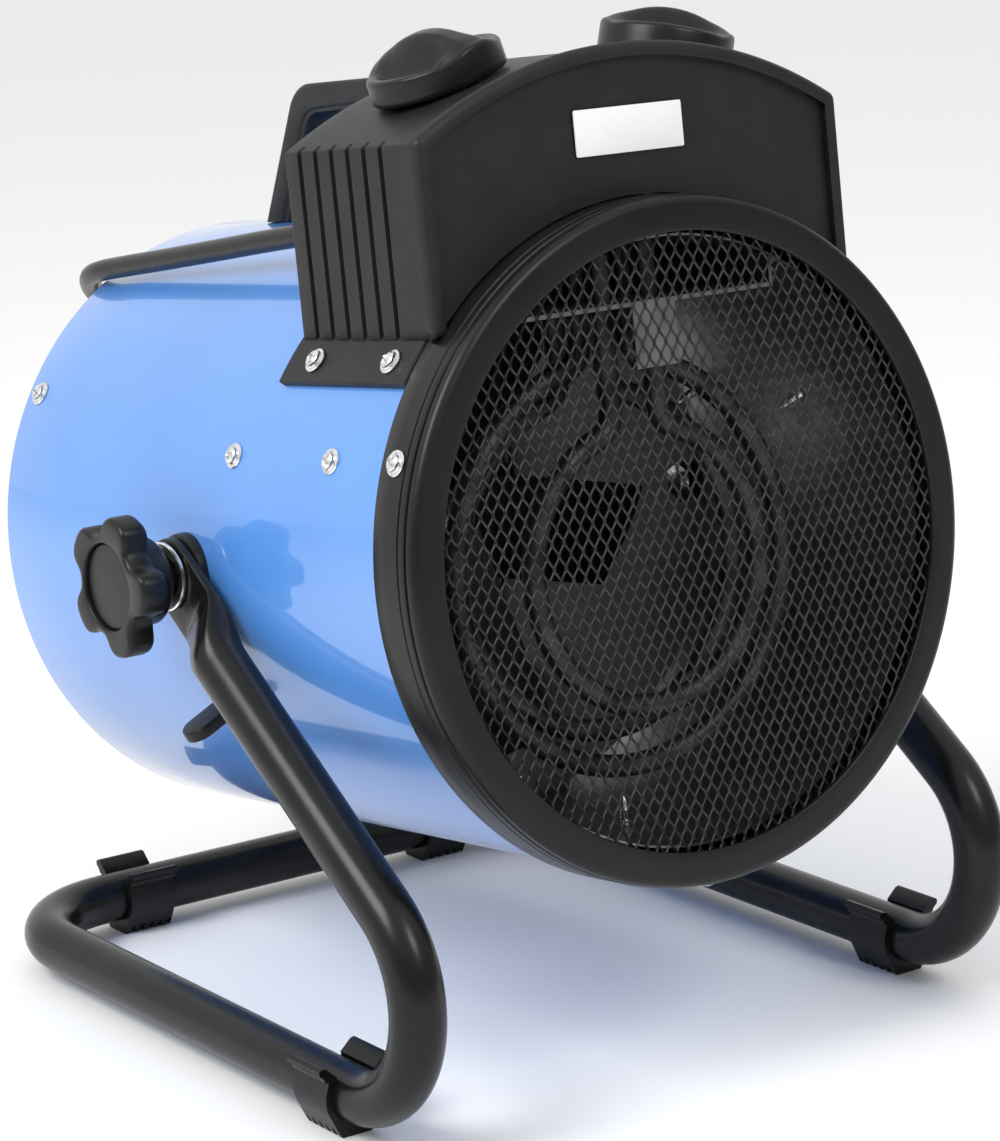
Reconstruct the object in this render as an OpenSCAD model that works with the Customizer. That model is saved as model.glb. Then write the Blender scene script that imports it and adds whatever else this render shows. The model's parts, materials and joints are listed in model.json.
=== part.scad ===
// Portable electric fan heater: a steel drum with ring elements, a control box on top,
// and a bent-tube stand in which the drum tilts between two star knobs.
// +Z up, -Y is the air outlet, origin on the floor under the middle of the heater.

/* [Drum] */
// Outer radius of the sheet-steel drum
drum_r = 113; // [90:1:140]
// Depth of the heater, from the ring's face to the drum's rear edge
heater_len = 276; // [225:1:335]
// Wall of the drum
drum_wall = 1.2; // [0.8:0.1:2]
// How far the nose of the heater is tilted up at rest, in degrees
rest_tilt = 6.5; // [0:0.5:15]

/* [Front ring and mesh] */
// How far the front ring stands proud of the drum all round
ring_step = 3; // [2:0.5:5]
// Width of the flat ring around the outlet
ring_face = 12.5; // [8:0.5:20]
// Depth of the ring's outer band
ring_depth = 23; // [18:1:30]
// Width of one diamond of the mesh
mesh_pitch_x = 9; // [7:0.5:14]
// Height of one diamond of the mesh
mesh_pitch_z = 16; // [12:1:24]
// Width of a strand of the mesh
strand = 1.4; // [1:0.1:2.5]

/* [Heating elements and duct] */
// Radius of the sheathed rod that the elements are bent from
rod_r = 4; // [3:0.5:5]
// Bend radius of the inner element ring
inner_ring_r = 48; // [38:1:56]
// Bend radius of the middle element ring
middle_ring_r = 59; // [58:1:64]
// Bend radius of the outer element ring
outer_ring_r = 70; // [66:1:76]
// How far the ring centres sit below the drum's axis
ring_drop = 9; // [0:1:12]
// Gap between the inner duct and the drum
duct_gap = 9; // [6:0.5:14]
// Depth of the inner duct
duct_len = 117; // [95:1:140]

/* [Fan] */
// Gap between the blade tips and the drum
tip_gap = 12; // [9:0.5:20]
// Radius of the motor's can
motor_r = 32; // [26:1:38]
// Length of the motor's can
motor_len = 48; // [38:1:58]
// Radius of the motor's shaft
shaft_r = 3; // [2.5:0.5:4]
// Running clearance of a shaft in its bore, radial
run_gap = 0.06; // [0.03:0.01:0.1]

/* [Control box] */
// Width of the control box
box_w = 172; // [140:1:205]
// Depth of the control box
box_d = 80; // [66:1:96]
// Height of the box's arched roof above the drum
box_rise = 52; // [42:1:62]
// Wall of the box
box_wall = 2.5; // [2:0.1:3.5]
// Distance from the middle to each knob, along the roof
knob_span = 47; // [40:1:56]
// Radius of each control knob
knob_r = 23.5; // [19.5:0.5:28]
// Height of each control knob
knob_h = 18; // [15:1:24]

/* [Handle] */
// Width of the handle
handle_w = 24; // [18:1:32]
// Height of the handle's top above the drum
handle_h = 50; // [42:1:60]
// Thickness of the handle's grip
grip_t = 11; // [9:0.5:14]
// Length of the handle behind the box
handle_l = 136; // [110:1:142]

/* [Stand] */
// Radius of the stand's tube
tube_r = 9.5; // [8:0.5:11]
// Wall of the tube
tube_wall = 1.5; // [1:0.1:2]
// Height of the pivot above the floor
pivot_h = 171.7; // [165:0.1:205]
// Distance from the ring's face back to the pivot
pivot_back = 144; // [120:0.5:173]
// Distance of the rear crossbar behind the pivot
cross_back = 128; // [115:0.5:154]
// Distance of the front bends in front of the pivot
bend_front = 146.6; // [122:0.1:160]
// Radius of the front bends, to the tube's middle
front_bend_r = 38; // [30:1:46]
// Radius of the rear corners, to the tube's middle
rear_bend_r = 40; // [30:1:50]
// Thickness of the rubber under the tube
foot_t = 4.5; // [3:0.5:8]
// Length of each foot clip along the tube
foot_len = 20; // [16:1:28]

/* [Clamp knobs] */
// Radius of each star knob over its lobes
star_r = 25; // [20:0.5:30]
// Thickness of each star knob's lobes
star_t = 10.5; // [8:0.5:14]
// Radius of the clamp studs
stud_r = 4; // [3:0.5:5]
// Thickness of the tube's flattened end
flat_t = 4; // [3:0.5:5]
// Length of the spacer boss between drum and stand
boss_len = 3.5; // [3:0.5:8]

/* [Power lead] */
// Diameter of the lead
lead_d = 8; // [7:0.5:9]
// Length of the strain relief on the box
relief_len = 30; // [20:1:60]
// Radius of the plug's body
plug_r = 18.5; // [16:0.5:20]

/* [Hidden] */
$fn = 64;
eps = 0.02;
// air kept between pieces of different bodies
part_gap = 0.3;
mid_y = pivot_back + 0;

// drum and duct
ring_r = drum_r + ring_step;
open_r = ring_r - ring_face;
drum_y0 = 3;
duct_r = drum_r - drum_wall - duct_gap;
duct_y0 = 8;
duct_wall = 0.8;
mesh_y0 = 2.2;
mesh_t = 1.2;
pivot_a = 90;
screw_r = 1.9;
head_r = 4.2;
head_h = 2.6;

// elements
leg_x = 10;
inner_y = 30;
element_step = 14;
element_y = [inner_y, inner_y + element_step, inner_y + 2 * element_step];
leg_top = drum_r + 14;
bracket_y = [14, 96];
bracket_z = 80;
cutout_a = -50;

// fan and motor
motor_y0 = heater_len - 40 - motor_len;
fan_y = motor_y0 - 26;
hub_r = 15;
hub_len = 18;
fan_r = drum_r - drum_wall - tip_gap;
blades = 6;

// box, in the heater's own frame
box_y0 = 17;
box_y1 = box_y0 + box_d;
roof_r = drum_r + box_rise;
knob_y = box_y0 + box_d / 2;
knob_a = asin(knob_span / roof_r);
side_x = box_w / 2;
// angle from the top at which the box's side meets the drum
side_a = asin(side_x / (drum_r + ring_step));
flange_t = 3;
flange_w = 9;
groove_pitch = 9.8;
grooves = 6;
box_screw_a = side_a + 4;
gland_x = -62;
gland_z = drum_r - 1.5;
relief_r = 7.5;

// stand
arm_x = drum_r + 0.5 + tube_r;
tube_z = foot_t + tube_r;
plate_x0 = drum_r + boss_len + part_gap;
plate_x1 = plate_x0 + flat_t;
plate_w = 26;
washer_t = 2;
washer_x0 = plate_x1 + part_gap;
star_x0 = washer_x0 + washer_t;
star_hub = 12.2;
star_x1 = star_x0 + star_hub + star_t;
// the arm leaves the pivot on the line that is tangent to the front bend
bend_cy = bend_front - front_bend_r;
bend_cz = pivot_h - tube_z - front_bend_r;
bend_dist = sqrt(bend_cy * bend_cy + bend_cz * bend_cz);
arm_drop = atan2(bend_cz, bend_cy) - asin(front_bend_r / bend_dist);
arm_len = sqrt(bend_dist * bend_dist - front_bend_r * front_bend_r);

// middle of the object's box, without the lead, so that the origin is under it
front_low = min(-bend_front - tube_r,
                -pivot_back * cos(rest_tilt) - ring_r * sin(rest_tilt));
rear_high = max(cross_back + tube_r + 2.5,
                (heater_len - pivot_back) * cos(rest_tilt) + drum_r * sin(rest_tilt));
pivot_y = -(front_low + rear_high) / 2;

// the lead's route behind the drum, from the strain relief down to the floor
lead_r = lead_d / 2;
relief_end = box_y1 + relief_len;
function to_row(p) = [p[0],
    pivot_y + (p[1] - pivot_back) * cos(rest_tilt) + p[2] * sin(rest_tilt),
    pivot_h - (p[1] - pivot_back) * sin(rest_tilt) + p[2] * cos(rest_tilt)];
route = concat([to_row([gland_x, relief_end, gland_z])], [
    [-62, 28, 279.5], [-62, 63, 272.7], [-62, 98, 266], [-62, 125, 261], [-62, 145, 257],
    [-59.5, 158, 253], [-52, 170, 246.5], [-40, 178, 237], [-28, 181, 226.5], [-15, 181.5, 213],
    [-3, 181.5, 198], [7, 181, 180], [16, 180, 159], [24, 179, 137], [32, 177, 114],
    [39, 175, 92], [47, 172, 71], [57, 168, 50], [70, 164, 31], [84, 161, 17],
    [98, 159.5, 9], [112, 159.5, 5.2]]);
// the coil behind the stand
coil_x = 122;
coil_y = 212;
coil_mid_r = 40;
coil_lift = 1.2;
coil_r0 = coil_mid_r - lead_d;
coil_r1 = coil_mid_r + lead_d;
coil_h = 2 * lead_d;
tail = [[142, 168, 14], [150, 168, 15.6], [158, 168, 17.4], [166, 168, 18.3], [174, 168, 18.5]];
plug_x = 174;
plug_y = 168;
plug_relief = 24;
plug_len = 36;
pin_r = 2.4;
pin_len = 19;
pin_gap = 19;

// ---- placing ----

// from the heater's own frame (ring face at y = 0, drum axis at z = 0) to the row's
module in_heater()
    translate([0, pivot_y, pivot_h]) rotate([-rest_tilt, 0, 0])
        translate([0, -pivot_back, 0]) children();

// from a frame with the pivot's height and the floor, but y = 0 at the pivot
module in_stand() translate([0, pivot_y, 0]) children();

// a place on the drum, a degrees from the top towards +X, with +Z pointing outwards
module radial(a, y, r) rotate([0, a, 0]) translate([0, y, r]) children();

module rod_y(r, y0, y1) translate([0, y0, 0]) rotate([-90, 0, 0])
    cylinder(r = r, h = y1 - y0, $fn = r > 60 ? 180 : 64);

module tube_y(r1, r0, y0, y1)
    translate([0, y0, 0]) rotate([-90, 0, 0]) linear_extrude(y1 - y0) difference() {
        circle(r = r1, $fn = r1 > 60 ? 180 : 64);
        circle(r = r0, $fn = r0 > 60 ? 180 : 64);
    }

// a part of a tube around the drum's axis, from a0 to a1 degrees from the top
module sector_y(r1, r0, y0, y1, a0, a1)
    rotate([-90, 0, 0]) rotate([0, 0, a0 - 90])
        rotate_extrude(angle = a1 - a0, $fn = 180) translate([r0, y0]) square([r1 - r0, y1 - y0]);

module rod_x(r, x0, x1) translate([x0, 0, 0]) rotate([0, 90, 0]) cylinder(r = r, h = x1 - x0);

// ---- screws ----

ring_screw_at = [[-69, 14], [69, 14], [180, 14]];
duct_screw_at = [for (y = [56.5, duct_y0 + duct_len - 8]) for (a = [-69, 69, 180]) [a, y]];
box_screw_at = [for (s = [-1, 1]) for (f = [0.25, 0.8125]) [s * box_screw_a, box_y0 + f * box_d]];
guard_screw_at = [for (a = [-59, 59, 180]) [a, heater_len - 10]];

module pan_screw(grip) {
    difference() {
        intersection() {
            cylinder(r = head_r, h = head_h);
            translate([0, 0, head_h - 2.6 * head_r]) sphere(r = 2.6 * head_r);
        }
        for (t = [0, 90]) rotate([0, 0, t])
            translate([-head_r * 0.55, -0.55, head_h - 1.2]) cube([head_r * 1.1, 1.1, 2]);
    }
    translate([0, 0, -grip]) cylinder(r = screw_r, h = grip);
}

module screw_holes(places, r, reach)
    for (p = places) radial(p[0], p[1], r - reach) cylinder(r = screw_r + 0.1, h = 2 * reach);

// ---- drum ----

module leg_holes(r) for (y = element_y) for (s = [-1, 1]) translate([s * leg_x, y, 60]) cylinder(r = r, h = 90);

module drum_shell() color([0.22, 0.47, 0.82]) in_heater() difference() {
    tube_y(drum_r, drum_r - drum_wall, drum_y0, heater_len);
    leg_holes(rod_r + 2.1);
    screw_holes(ring_screw_at, drum_r, 4);
    screw_holes(duct_screw_at, drum_r, 4);
    screw_holes(box_screw_at, drum_r, 4);
    screw_holes(guard_screw_at, drum_r, 4);
    for (s = [-1, 1]) translate([0, mid_y, 0]) rotate([0, s * pivot_a, 0])
        translate([0, 0, drum_r - 5]) cylinder(r = stud_r + run_gap, h = 10);
}

module inner_duct() color([0.75, 0.76, 0.76]) in_heater() difference() {
    tube_y(duct_r, duct_r - duct_wall, duct_y0, duct_y0 + duct_len);
    leg_holes(rod_r + 2.1);
    screw_holes(duct_screw_at, duct_r, 3);
}

module duct_spacers() color([0.7, 0.7, 0.7]) in_heater() for (p = duct_screw_at) intersection() {
    radial(p[0], p[1], duct_r - 2) difference() {
        cylinder(r = 5, h = duct_gap + 4);
        translate([0, 0, -1]) cylinder(r = screw_r + 0.1, h = duct_gap + 6);
    }
    tube_y(drum_r - drum_wall, duct_r, p[1] - 8, p[1] + 8);
}

module front_ring() color([0.06, 0.06, 0.065]) in_heater() difference() {
    union() {
        tube_y(ring_r, open_r, 0, 2.2);
        tube_y(ring_r, drum_r, 2, ring_depth);
        tube_y(open_r + 1.2, open_r, 0, mesh_y0);
    }
    // two shallow beads in the outer band
    for (y = [4.5, 8]) tube_y(ring_r + 1, ring_r - 0.5, y, y + 1);
    screw_holes(ring_screw_at, ring_r, 4);
}

module diamond(w, h) polygon([[-w / 2, 0], [0, -h / 2], [w / 2, 0], [0, h / 2]]);

// diamonds on a staggered grid, all inside the mesh's rim
module diamond_field(r) {
    nx = ceil(r / mesh_pitch_x);
    nz = ceil(2 * r / mesh_pitch_z);
    for (j = [-nz:nz]) for (i = [-nx:nx]) {
        x = (i + (j % 2 == 0 ? 0 : 0.5)) * mesh_pitch_x;
        z = j * mesh_pitch_z / 2;
        if (norm([x, z]) < r - mesh_pitch_z / 2) translate([x, z])
            diamond(mesh_pitch_x - strand * 1.15, mesh_pitch_z - strand * 2.05);
    }
}

module front_mesh() color([0.12, 0.12, 0.12]) in_heater()
    translate([0, mesh_y0, 0]) rotate([-90, 0, 0]) linear_extrude(mesh_t) difference() {
        circle(r = drum_r - drum_wall - 1);
        diamond_field(open_r + 2);
    }

guard_wire = 1.4;
guard_rim = drum_r - drum_wall;
guard_rings = 9;
// rings in front, spokes welded behind them
module guard_wires() rotate([-90, 0, 0]) {
    for (k = [0 : guard_rings - 1]) let (r = 16 + (guard_rim - 25) * k / (guard_rings - 1))
        rotate_extrude() translate([r, 0]) circle(r = guard_wire, $fn = 24);
    translate([0, 0, -0.5]) cylinder(r = 12, h = 4.5);
    for (t = [0 : 45 : 315]) rotate([0, 0, t]) translate([0, 0, 2.2])
        rod_x(guard_wire, 10, guard_rim - 4.5);
}

module rear_guard() color([0.06, 0.06, 0.065]) in_heater() {
    difference() {
        union() {
            tube_y(guard_rim, guard_rim - 1.2, heater_len - 14, heater_len - 1);
            tube_y(guard_rim - 0.5, guard_rim - 7, heater_len - 4.5, heater_len - 3);
        }
        screw_holes(guard_screw_at, guard_rim, 4);
    }
    translate([0, heater_len - 6.2, 0]) guard_wires();
}

// ---- elements ----

// a rod bent to a ring with a gap at the top, where it turns up into two legs; each run
// enters the next by lap, which is a hair thicker
lap = 0.5;
hair = 0.05;
turn_r = 9;
module element(r, y) {
    gap_a = asin((leg_x + turn_r) / (r + turn_r));
    lap_a = lap / r * 180 / PI;
    turn_z = (r + turn_r) * cos(gap_a) - ring_drop;
    translate([0, y, -ring_drop]) rotate([90, 0, 0]) rotate([0, 0, 90 + gap_a - lap_a])
        rotate_extrude(angle = 360 - 2 * gap_a + 2 * lap_a) translate([r, 0]) circle(r = rod_r, $fn = 32);
    for (s = [-1, 1]) scale_side(s) {
        translate([leg_x + turn_r, y, turn_z]) rotate([90, 0, 0]) rotate([0, 0, 180])
            rotate_extrude(angle = 90 - gap_a) translate([turn_r, 0]) circle(r = rod_r + hair, $fn = 32);
        translate([leg_x, y, turn_z - lap]) cylinder(r = rod_r + 2 * hair, h = leg_top - turn_z + lap, $fn = 32);
    }
}

module element_inner() color([0.16, 0.15, 0.15]) in_heater() element(inner_ring_r, element_y[0]);
module element_outer() color([0.16, 0.15, 0.15]) in_heater() element(outer_ring_r, element_y[1]);
module element_middle() color([0.16, 0.15, 0.15]) in_heater() element(middle_ring_r, element_y[2]);

module element_bracket() color([0.75, 0.76, 0.76]) in_heater() difference() {
    union() {
        // a shelf across the top of the duct, closed at the back and on one side
        translate([-70, bracket_y[0], bracket_z]) cube([122, bracket_y[1] - bracket_y[0], 1.5]);
        translate([-70, bracket_y[1] - 1.5, bracket_z]) cube([122, 1.5, 40]);
        translate([50.5, bracket_y[0], bracket_z]) cube([1.5, bracket_y[1] - bracket_y[0], 40]);
        // a tab that hangs from its front edge
        translate([-9, bracket_y[0], bracket_z - 21]) cube([18, 1.5, 22]);
    }
    leg_holes(rod_r + 2 * hair);
    // the shelf ends at the duct
    difference() {
        rod_y(drum_r + 40, 0, duct_len);
        rod_y(duct_r - duct_wall, -1, duct_len + 1);
    }
}

module element_insulators() color([0.92, 0.9, 0.85]) in_heater()
    for (y = element_y) for (s = [-1, 1]) translate([s * leg_x, y, drum_r - 6]) difference() {
        union() {
            cylinder(r = rod_r + 1.9, h = 14);
            translate([0, 0, 7]) cylinder(r = rod_r + 2.6, h = 7);
        }
        translate([0, 0, -1]) cylinder(r = rod_r + 2 * hair, h = 16);
    }

module element_terminals() color([0.8, 0.8, 0.78]) in_heater()
    for (y = element_y) for (s = [-1, 1]) translate([s * leg_x, y, leg_top]) {
        cylinder(r = 2, h = 3);
        translate([-0.4, -3.15, 3]) cube([0.8, 6.3, 9]);
    }

module thermal_cutout() color([0.8, 0.8, 0.78]) in_heater() radial(cutout_a, 84, 0) difference() {
    union() {
        translate([0, 0, duct_r - duct_wall - 8]) cylinder(r = 8, h = 12);
        translate([-12, -4, duct_r - duct_wall - 8]) cube([24, 8, 1]);
    }
    difference() {
        rotate([0, -cutout_a, 0]) translate([0, -84, 0]) rod_y(drum_r + 40, 0, 160);
        rotate([0, -cutout_a, 0]) translate([0, -84, 0]) rod_y(duct_r - duct_wall, -1, 161);
    }
}

// ---- motor and fan ----

module motor() color([0.45, 0.46, 0.47]) in_heater() difference() {
    union() {
        rod_y(motor_r, motor_y0, motor_y0 + motor_len);
        rod_y(10, motor_y0 - 5, motor_y0 + motor_len + 4);
    }
    rod_y(shaft_r + run_gap, motor_y0 - 6, motor_y0 + motor_len - 4);
    for (t = [22.5 : 45 : 360]) rotate([0, t, 0]) translate([motor_r * 0.68, motor_y0 - 1, 0])
        rotate([-90, 0, 0]) cylinder(r = 4, h = 5);
}

module motor_bracket() color([0.3, 0.3, 0.31]) in_heater() difference() {
    y = motor_y0 + motor_len - 14;
    union() {
        intersection() {
            for (t = [45, 135]) rotate([0, t, 0]) translate([-drum_r, y, -8]) cube([2 * drum_r, 2.5, 16]);
            rod_y(drum_r - drum_wall, y - 1, y + 4);
        }
        tube_y(motor_r + 4, motor_r, y, y + 12);
        for (t = [45 : 90 : 315]) sector_y(drum_r - drum_wall, drum_r - drum_wall - 2, y, y + 14, t - 4, t + 4);
    }
    rod_y(motor_r, y - 2, y + 20);
}

module fan_shaft() color([0.8, 0.8, 0.8]) in_heater() rod_y(shaft_r, fan_y - 12, motor_y0 + motor_len - 5);

module fan_hub() color([0.6, 0.61, 0.62]) in_heater() tube_y(hub_r, shaft_r, fan_y, fan_y + hub_len);

module fan_nut() color([0.8, 0.8, 0.8]) in_heater() difference() {
    translate([0, fan_y - 6, 0]) rotate([-90, 0, 0]) cylinder(r = 6.5, h = 6, $fn = 6);
    rod_y(shaft_r, fan_y - 7, fan_y + 1);
}

module fan_blades() color([0.6, 0.61, 0.62]) in_heater() difference() {
    intersection() {
        for (k = [0 : blades - 1]) rotate([0, 360 * k / blades + 12, 0])
            translate([hub_r - 3, fan_y + hub_len / 2, 0]) rotate([28, 0, 0])
                translate([0, -0.6, -22]) cube([fan_r, 1.2, 44]);
        rod_y(fan_r, fan_y - 30, fan_y + hub_len + 30);
    }
    rod_y(hub_r, fan_y - 30, fan_y + hub_len + 30);
}

// ---- control box ----

module arch(r, half_w) intersection() {
    circle(r = r, $fn = 128);
    translate([-half_w, 40]) square([2 * half_w, r]);
}

// a shape in X and Z, carried along Y
module along_y(y0, y1) translate([0, y1, 0]) rotate([90, 0, 0]) linear_extrude(y1 - y0) children();

module knob_place(s) rotate([0, s * knob_a, 0]) translate([0, knob_y, 0]) children();

module control_box() color([0.07, 0.07, 0.075]) in_heater() difference() {
    union() {
        difference() {
            along_y(box_y0, box_y1) arch(roof_r, side_x);
            along_y(box_y0 + box_wall, box_y1 - box_wall)
                arch(roof_r - box_wall, side_x - box_wall);
        }
        for (s = [-1, 1]) {
            knob_place(s) translate([0, 0, roof_r - 4]) cylinder(r = knob_r - 3, h = 4.4);
            sector_y(drum_r + flange_t, drum_r, ring_depth + 1, box_y1 + 3,
                     s > 0 ? side_a - 5 : -side_a - flange_w + 1, s > 0 ? side_a + flange_w - 1 : -side_a + 5);
        }
    }
    rod_y(drum_r, -1, heater_len);
    rod_y(ring_r + part_gap, -1, ring_depth + 0.5);
    for (s = [-1, 1]) {
        for (k = [0 : grooves - 1])
            translate([s * side_x - 1.2, box_y1 - 9.5 - groove_pitch * k - 1.1, 30]) cube([2.4, 2.2, 150]);
        knob_place(s) translate([0, 0, roof_r - 12]) cylinder(r = shaft_r + 1, h = 20);
    }
    screw_holes(box_screw_at, drum_r + flange_t, 6);
    translate([gland_x, box_y1 - box_wall - 1, gland_z]) rotate([-90, 0, 0]) cylinder(r = lead_r + 1.5, h = box_wall + 2);
    // the box is open underneath, between its two sides
    difference() {
        translate([-side_x + box_wall, box_y0 + box_wall, 30]) cube([box_w - 2 * box_wall, box_d - 2 * box_wall, 80]);
        rod_y(roof_r, -1, 0);
    }
}

module label_plate() color([0.93, 0.93, 0.92]) in_heater()
    translate([-24, box_y0 - 0.8, drum_r + 17.5]) cube([45, 0.8, 15.5]);

function arc_pts(c, r, a0, a1, n) = [for (i = [0 : n]) let (a = a0 + (a1 - a0) * i / n) c + r * [cos(a), sin(a)]];

module carry_handle() color([0.07, 0.07, 0.075]) in_heater() difference() {
    y0 = box_y1;
    y1 = box_y1 + handle_l;
    top = drum_r + handle_h;
    translate([-handle_w / 2, 0, 0]) rotate([90, 0, 90]) linear_extrude(handle_w) difference() {
        polygon(concat([[y0, drum_r - 8], [y0, top]],
            arc_pts([y1 - 38, top - 14.5], 14.5, 90, 30, 8), [[y1, drum_r], [y1, drum_r - 8]]));
        polygon(concat([[y0 + 11, drum_r - 10], [y0 + 11, top - grip_t]],
            arc_pts([y1 - 44, top - grip_t - 11.5], 11.5, 90, 15, 8), [[y1 - 16, drum_r], [y1 - 16, drum_r - 10]]));
    }
    rod_y(drum_r, 0, heater_len);
}

module heat_switch() color([0.85, 0.84, 0.8]) in_heater() knob_place(-1) difference() {
    translate([-14, -15, roof_r - box_wall - 26]) cube([28, 30, 23]);
    translate([0, 0, roof_r - box_wall - 20]) cylinder(r = shaft_r + run_gap, h = 30);
}

module thermostat() color([0.75, 0.74, 0.7]) in_heater() knob_place(1) difference() {
    union() {
        translate([0, 0, roof_r - box_wall - 20]) cylinder(r = 15, h = 17);
        translate([-16, -8, roof_r - box_wall - 24]) cube([32, 16, 5]);
    }
    translate([0, 0, roof_r - box_wall - 20]) cylinder(r = shaft_r + run_gap, h = 30);
}

module terminal_block() color([0.9, 0.9, 0.86]) in_heater() difference() {
    translate([-25, box_y1 - 20, drum_r - 6]) cube([50, 14, 24]);
    rod_y(drum_r, 0, heater_len);
    for (i = [-2 : 2]) translate([i * 10, box_y1 - 13, drum_r + 8]) cylinder(r = 2, h = 20);
}

module cord_gland() color([0.07, 0.07, 0.075]) in_heater()
    translate([gland_x, box_y1, gland_z]) rotate([-90, 0, 0]) difference() {
        union() {
            cylinder(r = relief_r + 3, h = 3);
            cylinder(r1 = relief_r, r2 = lead_r + 0.8, h = relief_len);
            translate([0, 0, -box_wall - 1]) cylinder(r = lead_r + 1.5, h = box_wall + 2);
        }
        // the flange is cut flat where it nears the drum
        translate([-20, relief_r, -10]) cube([40, 20, 60]);
    }

module heater_screws(places, r, grip) in_heater() for (p = places) radial(p[0], p[1], r) pan_screw(grip);

module ring_screws() color([0.8, 0.8, 0.8]) heater_screws(ring_screw_at, ring_r, ring_step + 5);
module duct_screws() color([0.8, 0.8, 0.8]) heater_screws(duct_screw_at, drum_r, duct_gap + 5);
module box_screws() color([0.8, 0.8, 0.8]) heater_screws(box_screw_at, drum_r + flange_t, flange_t + 5);
module guard_screws() color([0.8, 0.8, 0.8]) heater_screws(guard_screw_at, drum_r, 5);

// ---- knobs on the box ----

module turn_knob() difference() {
    union() {
        cylinder(r = knob_r, h = knob_h * 0.42);
        intersection() {
            cylinder(r = knob_r, h = knob_h);
            translate([0, 0, -knob_r * 1.1]) sphere(r = knob_r * 1.1 + knob_h);
        }
    }
    for (s = [-1, 1]) translate([s * knob_r * 0.98, 0, knob_h * 1.15]) rotate([90, 0, 0])
        cylinder(r = knob_r * 0.76, h = 3 * knob_r, center = true);
    translate([0, 0, -1]) cylinder(r = shaft_r, h = knob_h * 0.6 + 1);
}

module knob_shaft() cylinder(r = shaft_r, h = 16 + knob_h * 0.6);

knob_base = roof_r + 0.4 + part_gap;
module heat_knob() color([0.06, 0.06, 0.065]) in_heater() knob_place(-1)
    translate([0, 0, knob_base]) rotate([0, 0, -38]) turn_knob();
module heat_knob_shaft() color([0.7, 0.7, 0.7]) in_heater() knob_place(-1) translate([0, 0, knob_base - 16]) knob_shaft();
module thermostat_knob() color([0.06, 0.06, 0.065]) in_heater() knob_place(1)
    translate([0, 0, knob_base]) rotate([0, 0, 75]) turn_knob();
module thermostat_knob_shaft() color([0.7, 0.7, 0.7]) in_heater() knob_place(1) translate([0, 0, knob_base - 16]) knob_shaft();

// ---- pivot ----

// left is -X; the pieces are modelled on the right and mirrored
module at_pivot(s) in_heater() translate([0, mid_y, 0]) scale_side(s) children();
module scale_side(s) { if (s < 0) mirror([1, 0, 0]) children(); else children(); }

module boss(s) at_pivot(s) difference() {
    rod_x(14, drum_r - 3, drum_r + boss_len);
    rod_x(stud_r + run_gap, drum_r - 4, drum_r + boss_len + 1);
    rod_y(drum_r, -20, 20);
}
module left_boss() color([0.07, 0.07, 0.075]) boss(-1);
module right_boss() color([0.07, 0.07, 0.075]) boss(1);

module pivot_nuts() color([0.7, 0.7, 0.7]) for (s = [-1, 1]) at_pivot(s) difference() {
    intersection() {
        translate([drum_r - drum_wall - 7, 0, 0]) rotate([0, 90, 0]) cylinder(r = 7.5, h = 10, $fn = 6);
        rod_y(drum_r - drum_wall, -20, 20);
    }
    rod_x(stud_r + run_gap, drum_r - 20, drum_r + 5);
}

module tilt_stops() color([0.07, 0.07, 0.075]) for (s = [-1, 1]) at_pivot(s) rotate([0, 25.5, 0]) difference() {
    union() {
        translate([drum_r - 3, -6.5, -3]) cube([15, 13, 6]);
        translate([drum_r + 12, 0, -3]) cylinder(r = 6.5, h = 6);
    }
    translate([drum_r + 2, -1.2, 2]) cube([20, 2.4, 3]);
    rotate([0, -25.5, 0]) rod_y(drum_r, -20, 20);
}

module star_outline() {
    lobe_r = 7;
    valley_r = 16;
    difference() {
        union() {
            circle(r = star_r - 5.5);
            for (k = [0 : 4]) rotate(72 * k) translate([star_r - lobe_r, 0]) circle(r = lobe_r);
        }
        for (k = [0 : 4]) rotate(72 * k + 36) translate([star_r - 6.7 + valley_r, 0]) circle(r = valley_r);
    }
}

module star_knob(s) at_pivot(s) difference() {
    union() {
        rod_x(15.5, star_x0, star_x0 + star_hub + 1);
        translate([star_x0 + star_hub, 0, 0]) rotate([0, 90, 0]) rotate([0, 0, 137]) linear_extrude(star_t) star_outline();
    }
    rod_x(star_r * 0.58, star_x1 - 3, star_x1 + 1);
    rod_x(stud_r, star_x0 - 1, star_x1 - 5);
}
module star_cap(s) at_pivot(s) rod_x(star_r * 0.58 - 0.4, star_x1 - 3, star_x1 - 1.6);
module star_stud(s) at_pivot(s) rod_x(stud_r, drum_r - drum_wall - 9, star_x1 - 6);
module spring_washer(s) at_pivot(s) difference() {
    rod_x(9.5, washer_x0, washer_x0 + washer_t);
    rod_x(stud_r, washer_x0 - 1, washer_x0 + washer_t + 1);
}

module left_clamp_knob() color([0.06, 0.06, 0.065]) star_knob(-1);
module left_clamp_cap() color([0.1, 0.1, 0.1]) star_cap(-1);
module left_clamp_stud() color([0.75, 0.75, 0.75]) star_stud(-1);
module left_washer() color([0.8, 0.8, 0.8]) spring_washer(-1);
module right_clamp_knob() color([0.06, 0.06, 0.065]) star_knob(1);
module right_clamp_cap() color([0.1, 0.1, 0.1]) star_cap(1);
module right_clamp_stud() color([0.75, 0.75, 0.75]) star_stud(1);
module right_washer() color([0.8, 0.8, 0.8]) spring_washer(1);

// ---- stand ----

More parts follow.
